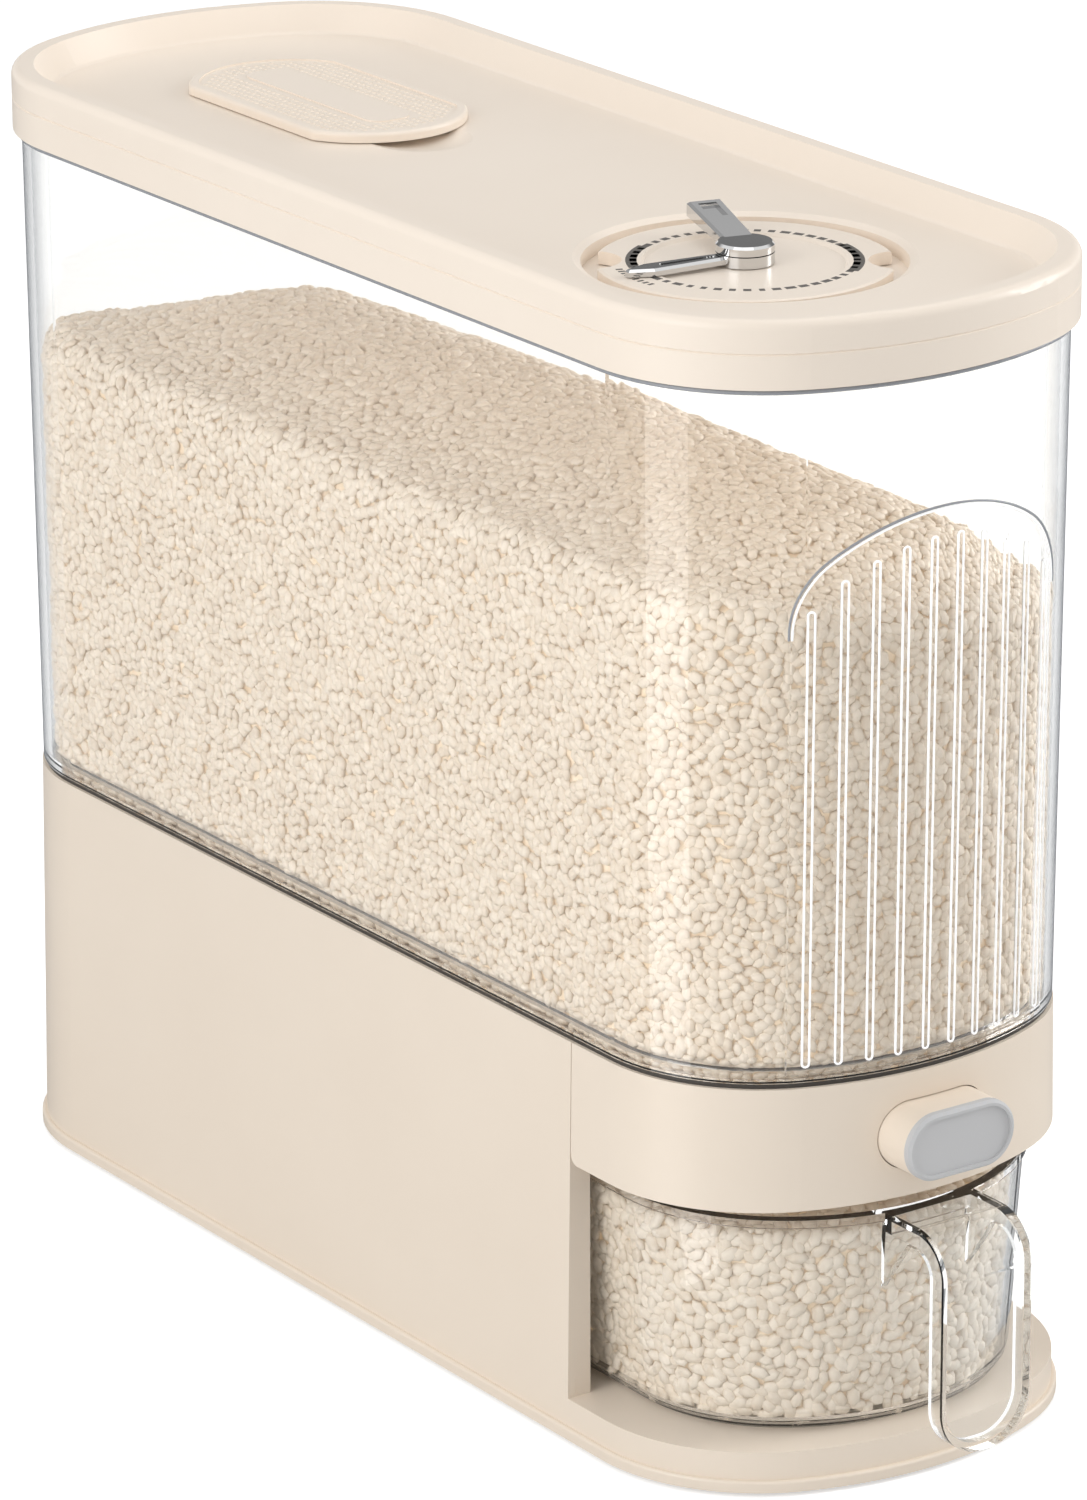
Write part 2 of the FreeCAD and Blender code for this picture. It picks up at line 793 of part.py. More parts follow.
def make_base_plate():
    """Bottom cover with a lip all round, recesses for the feet and countersunk screw holes."""
    plate = Piece("base_plate")
    outline = plate.sketch(at=size.foot_height)
    draw_plan(outline, size.flange_inset)
    plate.pad(outline, size.flange_thickness)
    rim = plate.sketch(at=flange_top)
    rim_inset = size.base_bottom_inset + size.base_wall + size.small_gap
    draw_plan(rim, rim_inset)
    draw_plan(rim, rim_inset + size.plate_rim_wall)
    plate.pad(rim, size.plate_rim_height)
    feet = plate.sketch(at=size.foot_height)
    for x, y in foot_places():
        draw_circle(feet, x, y, size.foot_radius)
    plate.pocket(feet, size.foot_recess, back=True)
    heads = plate.sketch(at=size.foot_height)
    holes = plate.sketch(at=size.foot_height)
    for x, y in screw_places():
        draw_circle(heads, x, y, size.screw_head_radius + size.small_gap)
        draw_circle(holes, x, y, size.screw_radius + size.small_gap)
    plate.pocket(heads, size.screw_head_height, back=True)
    plate.pocket(holes, size.flange_thickness + size.plate_rim_height, back=True)
    half_width = size.lid_half_width - size.flange_inset
    half_length = size.lid_half_length - size.flange_inset
    plate.soften("Fillet", size.flange_edge, outer_level_edges(flange_top, half_width, half_length))


def make_feet():
    """Four rubber pads set into the base plate."""
    pads = []
    for index, (x, y) in enumerate(foot_places(), 1):
        pad = part_object("Cylinder", f"foot_{index}", Radius=size.foot_radius,
                          Height=size.foot_height + size.foot_recess)
        move(pad, x, y)
        pads.append(pad)
    group("Compound", "rubber_feet", pads)


def make_screws():
    """Pan-head screws that hold the base plate to the housing."""
    screws = []
    for index, (x, y) in enumerate(screw_places(), 1):
        head = part_object("Cylinder", f"screw_head_{index}", Radius=size.screw_head_radius,
                           Height=size.screw_head_height)
        shank = part_object("Cylinder", f"screw_shank_{index}", Radius=size.screw_radius,
                            Height=size.screw_length + size.screw_head_height)
        move(head, x, y, size.foot_height)
        move(shank, x, y, size.foot_height)
        screws.append(group("MultiFuse", f"screw_{index}", [head, shank], is_node=False))
    group("Compound", "housing_screws", screws)


def make_base_housing():
    """Drafted side and rear wall with the deck that the cup stands on and the two front pillars."""
    housing = Piece("base_housing")
    wall_bottom = housing.sketch(at=flange_top)
    draw_plan(wall_bottom, size.base_bottom_inset)
    wall_top = housing.sketch(at=size.base_level)
    draw_plan(wall_top, size.base_top_inset)
    housing.loft([wall_bottom, wall_top])

    rim_bottom = size.base_level - size.rim_thickness
    hollow_bottom = housing.sketch(at=flange_top)
    draw_plan(hollow_bottom, size.base_bottom_inset + size.base_wall)
    hollow_top = housing.sketch(at=rim_bottom)
    draw_plan(hollow_top, base_inset(rim_bottom) + size.base_wall)
    housing.loft([hollow_bottom, hollow_top], cut=True)
    rim = housing.sketch(at=size.base_level)
    draw_plan(rim, size.rim_inset)
    housing.pocket(rim, size.rim_thickness)

    deck = housing.sketch(at=size.deck_level)
    draw_front_plan(deck, size.base_bottom_inset + size.base_wall / 2, -guide_rear)
    housing.pad(deck, size.deck_thickness, back=True)
    front = housing.sketch("XZ_Plane", at=-bay_front)
    draw_box(front, -size.lid_half_width, size.deck_level, size.lid_half_width,
             size.base_level + size.rim_thickness)
    housing.pocket(front, size.lid_half_length, back=True)

    pillars = housing.sketch("XZ_Plane", at=-bay_front)
    buried = size.lid_half_width - size.base_top_inset - size.base_wall / 2
    for sign in (-1, 1):
        draw_box(pillars, sign * bay_half_width, size.deck_level - size.deck_thickness / 2,
                 sign * buried, size.bay_level)
    housing.pad(pillars, size.base_wall, back=True)

    bosses = housing.sketch(at=flange_top)
    for x, y in screw_places():
        draw_circle(bosses, x, y, size.boss_radius)
    housing.pad(bosses, size.deck_level - size.deck_thickness / 2 - flange_top)
    pilots = housing.sketch(at=flange_top)
    for x, y in screw_places():
        draw_circle(pilots, x, y, size.screw_radius)
    housing.pocket(pilots, size.screw_length, back=True)


def make_bay_liner():
    """U-shaped wall round the cup, between the deck and the guide plate."""
    liner = Piece("bay_liner")
    outer = liner.sketch(at=size.deck_level)
    middle = -(bay_front + bay_rear) / 2
    reach = (bay_front - bay_rear) / 2
    draw_rounded_box(outer, bay_half_width, reach, size.bay_corner, middle)
    liner.pad(outer, size.bay_level - size.deck_level)
    square = liner.sketch(at=size.deck_level)
    draw_box(square, -bay_half_width, -bay_front, bay_half_width, middle)
    liner.pad(square, size.bay_level - size.deck_level)
    inner = liner.sketch(at=size.bay_level)
    draw_rounded_box(inner, bay_half_width - size.liner_wall, reach - size.liner_wall,
                     size.bay_corner - size.liner_wall, middle)
    liner.pocket(inner, size.bay_level - size.deck_level)
    mouth = liner.sketch(at=size.bay_level)
    inner_half = bay_half_width - size.liner_wall
    draw_box(mouth, -inner_half, -bay_front - size.liner_wall, inner_half, middle)
    liner.pocket(mouth, size.bay_level - size.deck_level)


def make_front_band():
    """Front cover above the bay, with the button's aperture."""
    band = Piece("front_band")
    seam = -bay_front - size.small_gap
    outer_bottom = band.sketch(at=size.bay_level)
    draw_front_plan(outer_bottom, base_inset(size.bay_level), seam)
    outer_top = band.sketch(at=size.base_level)
    draw_front_plan(outer_top, size.base_top_inset, seam)
    band.loft([outer_bottom, outer_top])
    rim_bottom = size.base_level - size.rim_thickness
    open_rear = -bay_front + size.band_wall
    inner_bottom = band.sketch(at=size.bay_level)
    draw_front_plan(inner_bottom, base_inset(size.bay_level) + size.band_wall, open_rear)
    inner_top = band.sketch(at=rim_bottom)
    draw_front_plan(inner_top, base_inset(rim_bottom) + size.band_wall, open_rear)
    band.loft([inner_bottom, inner_top], cut=True)
    rim = band.sketch(at=size.base_level)
    draw_front_plan(rim, size.rim_inset, open_rear)
    band.pocket(rim, size.rim_thickness)
    aperture = band.sketch("XZ_Plane", at=-bay_front)
    draw_slot(aperture, as_size(0), button_level, size.button_half_width + size.small_gap,
              size.button_half_height + size.small_gap)
    band.pocket(aperture, size.lid_half_length, back=True)
    seam_place = seam.value
    lower = size.bay_level.value

    def rear_corner(edge):
        middle = edge.valueAt((edge.FirstParameter + edge.LastParameter) / 2)
        return abs(middle.y - seam_place) < 0.01 and abs(middle.z - lower) < 0.01
    band.soften("Fillet", size.band_corner, rear_corner)


# ---- outlet, gate and button -------------------------------------------------------------------

guide_top = size.bay_level + size.guide_thickness
gate_bottom = guide_top + size.small_gap
gate_top = gate_bottom + size.gate_thickness
outlet_level = gate_top + size.small_gap
band_front = size.lid_half_length - base_inset(button_level)


def make_outlet_guide():
    """Ceiling of the bay, with the outlet's slot, the gate's rails and the springs' stop."""
    guide = Piece("outlet_guide")
    plate = guide.sketch(at=size.bay_level)
    draw_front_plan(plate, base_inset(size.bay_level) + size.band_wall + size.small_gap,
                    -guide_rear)
    guide.pad(plate, size.guide_thickness)
    rails = guide.sketch(at=guide_top)
    rail_inner = gate_half_width + size.small_gap
    for sign in (-1, 1):
        draw_box(rails, sign * rail_inner, -gate_front + size.bridge_thickness,
                 sign * (rail_inner + size.rail_width), -gate_rear)
    guide.pad(rails, outlet_level - guide_top)
    bridge = guide.sketch("XZ_Plane", at=-bridge_y)
    rail_outer = rail_inner + size.rail_width
    draw_polygon(bridge, [(-rail_outer, guide_top), (-rail_inner, guide_top),
                          (-rail_inner, outlet_level), (rail_inner, outlet_level),
                          (rail_inner, guide_top), (rail_outer, guide_top),
                          (rail_outer, outlet_level + size.bridge_thickness),
                          (size.bracket_half_width, bridge_top),
                          (-size.bracket_half_width, bridge_top),
                          (-rail_outer, outlet_level + size.bridge_thickness)])
    guide.pad(bridge, size.bridge_thickness, back=True)
    posts = guide.sketch("XZ_Plane", at=-bridge_y)
    for sign in (-1, 1):
        draw_circle(posts, sign * size.spring_x, spring_level,
                    size.spring_post_radius + size.small_gap)
    guide.pocket(posts, size.bridge_thickness)
    outlet = guide.sketch(at=guide_top)
    draw_rounded_box(outlet, size.outlet_half_width, size.outlet_half_length, size.outlet_corner,
                     -outlet_y)
    guide.pocket(outlet, size.guide_thickness)


bridge_top = button_level + size.bridge_rise
spring_level = (outlet_level + bridge_top) / 2
bracket_back = -gate_front + size.bridge_thickness


def make_gate_plate():
    """Sliding shutter with a window, a bracket behind the button and two spring posts."""
    gate = Piece("gate_plate")
    plate = gate.sketch(at=gate_bottom)
    shoulder = gate_half_width - size.gate_corner
    shoulder_y = -gate_front + size.gate_corner
    draw_polygon(plate, [(-shoulder, -gate_front), (shoulder, -gate_front),
                         (gate_half_width, shoulder_y), (gate_half_width, -gate_rear),
                         (-gate_half_width, -gate_rear), (-gate_half_width, shoulder_y)])
    gate.pad(plate, size.gate_thickness)
    bracket = gate.sketch(at=gate_bottom)
    draw_box(bracket, -size.bracket_half_width, -gate_front, size.bracket_half_width,
             bracket_back)
    gate.pad(bracket, button_level + size.bracket_rise - gate_bottom)
    posts = gate.sketch("XZ_Plane", at=bracket_back)
    for sign in (-1, 1):
        draw_circle(posts, sign * size.spring_x, spring_level, size.spring_post_radius)
    gate.pad(posts, size.spring_post_length, back=True)
    window = gate.sketch(at=gate_top)
    draw_rounded_box(window, size.outlet_half_width, size.outlet_half_length, size.outlet_corner,
                     -outlet_y - size.gate_travel)
    gate.pocket(window, size.gate_thickness)


def make_return_springs():
    """Two coil springs on the gate's posts that push the button back out."""
    springs = []
    front_end = bracket_back + size.small_gap + size.spring_wire
    free = -bridge_y - size.spring_wire - front_end
    for index, sign in enumerate((-1, 1), 1):
        coil = part_object("Helix", f"spring_coil_{index}", Radius=size.spring_radius,
                           Height=free, Pitch=free / size.spring_turns)
        wire = part_object("Circle", f"spring_wire_{index}", Radius=size.spring_wire)
        wire.Placement = Placement(Vector(), Rotation(Vector(1, 0, 0), 90))
        bind(wire, "Placement.Base.x", size.spring_radius)
        sweep = doc.addObject("Part::Sweep", f"spring_sweep_{index}")
        sweep.Sections = [wire]
        sweep.Spine = (coil, ["Edge1"])
        sweep.Solid = True
        sweep.Frenet = True
        sweep.Placement = Placement(Vector(), Rotation(Vector(1, 0, 0), -90))
        move(sweep, sign * size.spring_x, front_end, spring_level)
        springs.append(sweep)
    group("Compound", "return_springs", springs)


def make_button_body():
    """Stadium sleeve that slides through the band, with a flange behind it."""
    button = Piece("button_body")
    flange_front = band_front - size.band_wall - size.button_setback
    flange = button.sketch("XZ_Plane", at=-gate_front)
    draw_slot(flange, as_size(0), button_level, size.button_half_width + size.button_flange,
              size.button_half_height + size.button_flange)
    button.pad(flange, flange_front - gate_front)
    sleeve = button.sketch("XZ_Plane", at=-gate_front)
    draw_slot(sleeve, as_size(0), button_level, size.button_half_width,
              size.button_half_height)
    button.pad(sleeve, band_front + size.button_reach - size.pad_thickness - gate_front)


def make_button_pad():
    """Grey face of the button with a raised rim."""
    pad = Piece("button_pad")
    face = -(band_front + size.button_reach)
    outline = pad.sketch("XZ_Plane", at=face)
    draw_slot(outline, as_size(0), button_level, size.button_half_width,
              size.button_half_height)
    pad.pad(outline, size.pad_thickness, back=True)
    front = face.value

    def front_edge(edge):
        box = edge.BoundBox
        return abs(box.YMin - front) < 1e-4 and abs(box.YMax - front) < 1e-4
    pad.soften("Chamfer", size.pad_rim / 2, front_edge)
    dish = pad.sketch("XZ_Plane", at=face)
    draw_slot(dish, as_size(0), button_level, size.button_half_width - size.pad_rim,
              size.button_half_height - size.pad_rim)
    pad.pocket(dish, size.pad_dish)


# ---- hopper and tank ---------------------------------------------------------------------------

def draw_funnel_top(sketch, inset):
    """The funnel's mouth, set back from the front to clear the button."""
    half_length = (funnel_front + funnel_rear) / 2
    centre = (funnel_rear - funnel_front) / 2
    draw_rounded_box(sketch, funnel_half_width - inset, half_length - inset,
                     size.funnel_corner - inset, centre)


def make_hopper():
    """Funnel below the tank: a flange under the housing's rim and flanks that fall to the outlet."""
    hopper = Piece("hopper")
    rim_bottom = size.base_level - size.rim_thickness
    flange_bottom = rim_bottom - size.hopper_flange_thickness
    flange = hopper.sketch(at=flange_bottom)
    draw_plan(flange, hopper_flange_inset)
    hopper.pad(flange, size.hopper_flange_thickness)
    lip = hopper.sketch(at=rim_bottom)
    lip_inset = size.rim_inset + size.small_gap
    draw_plan(lip, lip_inset)
    draw_plan(lip, lip_inset + size.hopper_wall)
    hopper.pad(lip, size.hopper_lip)
    outer_top = hopper.sketch(at=flange_bottom)
    draw_funnel_top(outer_top, -size.hopper_wall)
    outer_bottom = hopper.sketch(at=outlet_level)
    draw_rounded_box(outer_bottom, size.outlet_half_width + size.hopper_wall,
                     size.outlet_half_length + size.hopper_wall,
                     size.outlet_corner + size.hopper_wall, -outlet_y)
    hopper.loft([outer_top, outer_bottom])
    foot = hopper.sketch(at=outlet_level)
    rail_outer = gate_half_width + size.small_gap + size.rail_width
    draw_box(foot, -rail_outer, -outlet_y - 2 * size.outlet_half_length, rail_outer,
             -outlet_y + 2 * size.outlet_half_length)
    hopper.pad(foot, size.hopper_wall)
    inner_top = hopper.sketch(at=rim_bottom)
    draw_funnel_top(inner_top, as_size(0))
    inner_bottom = hopper.sketch(at=outlet_level)
    draw_rounded_box(inner_bottom, size.outlet_half_width, size.outlet_half_length,
                     size.outlet_corner, -outlet_y)
    hopper.loft([inner_top, inner_bottom], cut=True)


def make_tank_seal():
    """Flat gasket between the base and the tank."""
    seal = Piece("tank_seal")
    ring = seal.sketch(at=size.base_level)
    draw_plan(ring, size.seal_inset)
    draw_plan(ring, size.seal_inset + size.seal_width)
    seal.pad(ring, size.seal_thickness)


def tank_block(label, out):
    """A closed block with the tank's tapered outline, grown outwards by a relief."""
    block = Piece(label, is_node=False)
    bottom = block.sketch(at=tank_bottom)
    draw_plan(bottom, size.tank_bottom_inset - out)
    top = block.sketch(at=tank_top)
    draw_plan(top, size.tank_top_inset - out)
    block.loft([bottom, top])
    return block.body


def arch_end():
    """The arch's crown as a bowed end: two corners and a flatter arc between them."""
    return End(arch_spring + size.arch_rise, size.arch_corner, size.arch_rise - size.arch_corner)


def arch_height(x):
    """Level of the arch's edge at a distance from the middle."""
    end = arch_end()
    across = arch_half_width - end.corner
    if abs(x.value) <= across.value:
        radius = end.swing(arch_half_width) + end.corner
        return end.reach - radius + (radius * radius - x * x).root()
    side = x - across if x.value > 0 else x + across
    return arch_spring + (end.corner * end.corner - side * side).root()


def make_tank():
    """Clear tapered tank with an arched, ribbed panel on the front and a flange round its foot."""
    shell = tank_block("tank_shell", as_size(0))
    panel_skin = tank_block("tank_panel_skin", size.arch_relief)
    rib_skin = tank_block("tank_rib_skin", size.rib_relief)

    arch = Piece("tank_arch", is_node=False)
    outline = arch.sketch("XZ_Plane", at=-bay_front)
    draw_bowed_end(outline, arch_half_width, arch_end(), arch_bottom, front=False)
    arch.pad(outline, size.lid_half_length)
    ribs = Piece("tank_ribs", is_node=False)
    rows = ribs.sketch("XZ_Plane", at=-bay_front)
    for index in range(RIB_COUNT):
        x = rib_pitch * (index - (RIB_COUNT - 1) / 2)
        top = arch_height(x) - size.rib_top_gap
        middle = (top + rib_bottom) / 2
        draw_slot(rows, x, middle, (top - rib_bottom) / 2, size.rib_width / 2, upright=True)
    ribs.pad(rows, size.lid_half_length)
    panel = group("MultiCommon", "tank_panel", [arch.body, panel_skin], is_node=False)
    rows = group("MultiCommon", "tank_rib_rows", [ribs.body, rib_skin], is_node=False)
    outside = group("MultiFuse", "tank_outside", [shell, panel, rows], is_node=False)

    hollow = Piece("tank_hollow", is_node=False)
    bottom = hollow.sketch(at=tank_bottom + size.tank_flange_thickness)
    draw_plan(bottom, size.tank_bottom_inset + size.tank_wall)
    top = hollow.sketch(at=tank_top)
    draw_plan(top, size.tank_top_inset + size.tank_wall)
    hollow.loft([bottom, top])
    mouth = hollow.sketch(at=tank_bottom)
    draw_plan(mouth, size.rim_inset)
    hollow.pad(mouth, size.tank_flange_thickness)
    group("Cut", "tank", [outside, hollow.body])


# ---- measuring cup -----------------------------------------------------------------------------

cup_bottom = size.deck_level + size.small_gap


def draw_cup(sketch, inset):
    """The cup's outline: a broad bowed front and a flatter rear."""
    middle = -(cup_rim_front + cup_rear) / 2
    reach = (cup_rim_front - cup_rear) / 2
    front = End(reach, size.cup_front_corner, size.cup_front_bow).inset(inset)
    rear = End(reach, size.cup_rear_corner, size.cup_rear_bow).inset(inset)
    draw_outline(sketch, cup_rim_half_width - inset, rear, front, middle)


def rounded_foot(piece, bottom, radius, inset):
    """Sketches of the cup that turn from its floor into its wall in a quarter round."""
    sections = []
    for step in range(ROUND_STEPS + 1):
        turn = math.radians(90 * step / ROUND_STEPS)
        section = piece.sketch(at=bottom + radius * (1 - math.cos(turn)))
        draw_cup(section, inset + radius * (1 - math.sin(turn)))
        sections.append(section)
    return sections


def make_measuring_cup():
    """Clear tapered cup with a lipped rim and a hook handle down its front."""
    cup = Piece("measuring_cup")
    outer = rounded_foot(cup, cup_bottom, size.cup_bottom_round, size.cup_taper)
    rim = cup.sketch(at=cup_rim_level)
    draw_cup(rim, as_size(0))
    cup.loft([*outer, rim])
    lip = cup.sketch(at=cup_rim_level)
    draw_cup(lip, -size.cup_lip)
    cup.pad(lip, size.cup_lip_height, back=True)

    front = -cup_rim_front
    reach = -(size.lid_half_length + size.handle_reach)
    handle = cup.sketch("YZ_Plane")
    draw_hook(handle, front + size.cup_wall, reach, cup_rim_level, handle_bottom,
              size.handle_bend, size.handle_depth)
    cup.pad(handle, 2 * size.handle_half_width, both=True)
    cup.soften("Fillet", size.handle_end_round,
               handle_end_edges(size.handle_half_width, handle_bottom))
    skin = size.handle_skin
    channel = cup.sketch("YZ_Plane")
    channel_half = size.handle_half_width - skin
    channel_round = size.handle_end_round - skin
    straight_top = cup_rim_level - size.handle_bend
    draw_hook(channel, front - size.cup_lip, reach + skin, cup_rim_level - skin,
              straight_top - size.handle_end_round, size.handle_bend - skin, size.handle_depth)
    cup.pocket(channel, 2 * channel_half, both=True)
    leg = cup.sketch("XZ_Plane", at=reach + skin)
    leg_bottom = handle_bottom + skin
    draw_rounded_box(leg, channel_half, (straight_top - leg_bottom) / 2, channel_round,
                     (straight_top + leg_bottom) / 2)
    cup.pocket(leg, size.handle_depth)

    under = cup_rim_level - size.handle_depth
    gusset = cup.sketch("YZ_Plane", at=size.handle_half_width - size.gusset_thickness)
    draw_polygon(gusset, [(front + size.cup_wall, under + skin), (front - size.gusset_reach, under + skin),
                          (front - size.gusset_reach, under),
                          (front + size.cup_wall, under - size.gusset_drop)])
    rib = cup.pad(gusset, size.gusset_thickness)
    cup.mirror([rib])

    inner = rounded_foot(cup, cup_bottom + size.cup_wall, size.cup_bottom_round - size.cup_wall,
                         size.cup_taper + size.cup_wall)
    mouth = cup.sketch(at=cup_rim_level)
    draw_cup(mouth, size.cup_wall)
    cup.loft([*inner, mouth], cut=True)


def handle_end_edges(half_width, bottom):
    """A test for the two upright corner edges at the handle's free end."""
    half = half_width.value
    level = bottom.value
    outer = -(size.lid_half_length + size.handle_reach).value
    inner = -cup_rim_front.value

    def chosen(edge):
        box = edge.BoundBox
        at_side = abs(abs(box.XMin) - half) < 1e-4 and box.XLength < 1e-4
        at_foot = abs(box.ZMax - level) < 1e-4 and box.ZLength < 1e-4
        return at_side and at_foot and outer - 1 < box.YMin and box.YMax < inner
    return chosen


# ---- lid ---------------------------------------------------------------------------------------

def make_lid_cover():
    """Upper half of the lid: a raised rim round a sunk tray, with the dial's well and an opening."""
    cover = Piece("lid_cover")
    outline = cover.sketch(at=lid_split)
    draw_plan(outline, as_size(0))
    cover.pad(outline, size.overall_height - lid_split)
    cover.soften("Fillet", size.lid_edge_round, level_edges(size.overall_height))
    cover.soften("Chamfer", size.parting_chamfer, level_edges(lid_split))
    tray_top = cover.sketch(at=size.overall_height)
    draw_plan(tray_top, size.tray_rim_width)
    tray_bottom = cover.sketch(at=tray_level)
    draw_plan(tray_bottom, size.tray_rim_width + size.tray_slope)
    cover.loft([tray_top, tray_bottom], cut=True)
    cover.soften("Fillet", size.tray_round, level_edges(tray_level))

    floor = cover.sketch(at=tray_level)
    draw_plan(floor, size.lid_wall + size.small_gap)
    cover.pad(floor, tray_level - floor_bottom, back=True)
    groove = cover.sketch(at=floor_bottom)
    draw_plan(groove, size.lid_wall)
    draw_plan(groove, size.tray_rim_width - size.lid_wall)
    cover.pocket(groove, size.overall_height - size.lid_wall - floor_bottom, back=True)

    well = cover.sketch(at=floor_bottom)
    draw_circle(well, 0, -dial_y, well_radius + size.well_wall)
    cover.pad(well, floor_bottom - well_level + size.well_floor, back=True)
    sunk = cover.sketch("XZ_Plane", at=-dial_y)
    draw_polygon(sunk, [(0, well_level), (well_radius, well_level),
                        (well_radius, tray_level - size.well_slope / 2),
                        (well_radius + size.well_slope, tray_level),
                        (0, tray_level)])
    cover.revolve(sunk, cut=True)
    pivot = cover.sketch(at=well_level)
    draw_circle(pivot, 0, -dial_y, size.dial_boss_radius + size.running_gap)
    cover.pocket(pivot, size.well_floor)

    seat = cover.sketch(at=tray_level)
    draw_cover_outline(seat, size.box_flange_inset - size.small_gap)
    cover.pocket(seat, size.box_flange_thickness)
    opening = cover.sketch(at=tray_level)
    draw_rounded_box(opening, box_half_width + size.box_wall + size.small_gap,
                     box_half_length + size.box_wall + size.small_gap,
                     size.box_corner + size.box_wall, cover_y)
    cover.pocket(opening, tray_level - floor_bottom)
    notch = cover.sketch("XZ_Plane", at=notch_y)
    scoop = (size.notch_radius * size.notch_radius
             + size.notch_depth * size.notch_depth) / (2 * size.notch_depth)
    draw_cap(notch, scoop, tray_level, size.notch_depth, size.notch_radius)
    cover.revolve(notch, cut=True)


def draw_cap(sketch, radius, top, depth, half_width):
    """Half of a shallow round hollow: its floor arc, the axis and the surface."""
    centre = top - depth + radius
    reach = math.degrees(math.asin(half_width.value / radius.value))
    floor = sketch.addGeometry(arc(0, centre, radius, 270, 270 + reach), False)
    corners = [point(half_width, top), point(0, top), point(0, top - depth)]
    surface = sketch.addGeometry(Part.LineSegment(corners[0], corners[1]), False)
    axis = sketch.addGeometry(Part.LineSegment(corners[1], corners[2]), False)
    for first, second in ((floor, surface), (surface, axis), (axis, floor)):
        sketch.addConstraint(Sketcher.Constraint("Coincident", first, END, second, START))
    place(sketch, (surface, START), half_width, top)
    place(sketch, (surface, END), 0, top)
    place(sketch, (axis, END), 0, top - depth)
    sketch.addConstraint(Sketcher.Constraint("PointOnObject", floor, CENTRE, Y_AXIS))


def draw_cover_outline(sketch, inset):
    """The desiccant cover's outline moved inwards."""
    end = End(size.cover_half_length, size.cover_corner, size.cover_bow).inset(inset)
    draw_outline(sketch, size.cover_half_width - inset, end, end, cover_y)


well_radius = size.dial_radius + size.well_gap
well_level = tray_level - size.well_depth


def make_lid_frame():
    """Lower half of the lid: the skirt round the tank's rim, a web over it and a plug inside it."""
    frame = Piece("lid_frame")
    outline = frame.sketch(at=lid_level)
    draw_plan(outline, as_size(0))
    frame.pad(outline, lid_split - lid_level)
    frame.soften("Chamfer", size.parting_chamfer, level_edges(lid_split))
    top = frame.sketch(at=lid_split)
    draw_plan(top, size.lid_wall)
    frame.pocket(top, lid_split - floor_bottom)
    bottom = frame.sketch(at=lid_level)
    draw_plan(bottom, size.tank_top_inset - size.skirt_gap)
    frame.pocket(bottom, web_level - lid_level, back=True)
    plug_bottom = web_level - size.plug_depth
    plug = frame.sketch(at=web_level)
    draw_plan(plug, plug_inset)
    frame.pad(plug, size.plug_depth, back=True)
    for level in (seal_low - size.plug_lip, seal_low + size.lid_seal_height):
        ridge = frame.sketch(at=level)
        draw_plan(ridge, plug_inset - size.plug_lip)
        frame.pad(ridge, size.plug_lip)
    middle = frame.sketch(at=plug_bottom)
    draw_plan(middle, plug_inset + size.plug_wall)
    frame.pocket(middle, lid_split - plug_bottom, back=True)


seal_low = web_level - size.lid_seal_drop - size.lid_seal_height


def make_lid_seal():
    """Silicone ring held between the plug's two lips."""
    seal = Piece("lid_seal")
    ring = seal.sketch(at=seal_low)
    draw_plan(ring, tank_inset(seal_low) + size.tank_wall + size.small_gap)
    draw_plan(ring, plug_inset)
    seal.pad(ring, size.lid_seal_height)


def make_desiccant_box():
    """Open box that hangs in the tray's opening, with vent slots through its floor."""
    box = Piece("desiccant_box")
    flange = box.sketch(at=tray_level)
    draw_cover_outline(flange, size.box_flange_inset)
    box.pad(flange, size.box_flange_thickness, back=True)
    outer = box.sketch(at=tray_level)
    draw_rounded_box(outer, box_half_width + size.box_wall,
                     box_half_length + size.box_wall, size.box_corner + size.box_wall,
                     cover_y)
    box.pad(outer, size.box_depth, back=True)
    inner = box.sketch(at=tray_level)
    draw_rounded_box(inner, box_half_width, box_half_length, size.box_corner, cover_y)
    box.pocket(inner, size.box_depth - size.box_wall)
    vent = box.sketch(at=tray_level - size.box_depth)
    first = cover_y - size.vent_pitch * (size.vent_count - 1) / 2
    draw_slot(vent, as_size(0), first, box_half_width - size.vent_margin, size.vent_width / 2)
    slot = box.pocket(vent, size.box_wall, back=True)
    box.repeat(slot, "Y_Axis", int(size.vent_count.value), size.vent_pitch)
    scoop = box.sketch(at=tray_level)
    draw_circle(scoop, 0, notch_y, size.notch_radius)
    box.pocket(scoop, size.box_flange_thickness)


def make_desiccant_cover():
    """Lift-out cover with a bordered face and a rib that drops into the box's mouth."""
    cover = Piece("desiccant_cover")
    bottom = tray_level + size.small_gap
    outline = cover.sketch(at=bottom)
    draw_cover_outline(outline, as_size(0))
    cover.pad(outline, size.cover_thickness)
    top = bottom + size.cover_thickness
    cover.soften("Fillet", size.cover_edge_round, level_edges(top))
    dish = cover.sketch(at=top)
    draw_cover_outline(dish, size.cover_border)
    cover.pocket(dish, size.cover_dish)
    bar = cover.sketch(at=top - size.cover_dish)
    draw_rounded_box(bar, size.cover_bar_half_width, size.cover_bar_half_length,
                     size.cover_bar_corner, cover_y)
    cover.pad(bar, size.cover_bar_height)
    rib = cover.sketch(at=bottom)
    slack = size.small_gap
    draw_rounded_box(rib, box_half_width - slack, box_half_length - slack,
                     size.box_corner - slack, cover_y)
    wall = slack + size.cover_plug_wall
    draw_rounded_box(rib, box_half_width - wall, box_half_length - wall,
                     size.box_corner - wall, cover_y)
    cover.pad(rib, size.cover_plug_height, back=True)


# ---- dial --------------------------------------------------------------------------------------

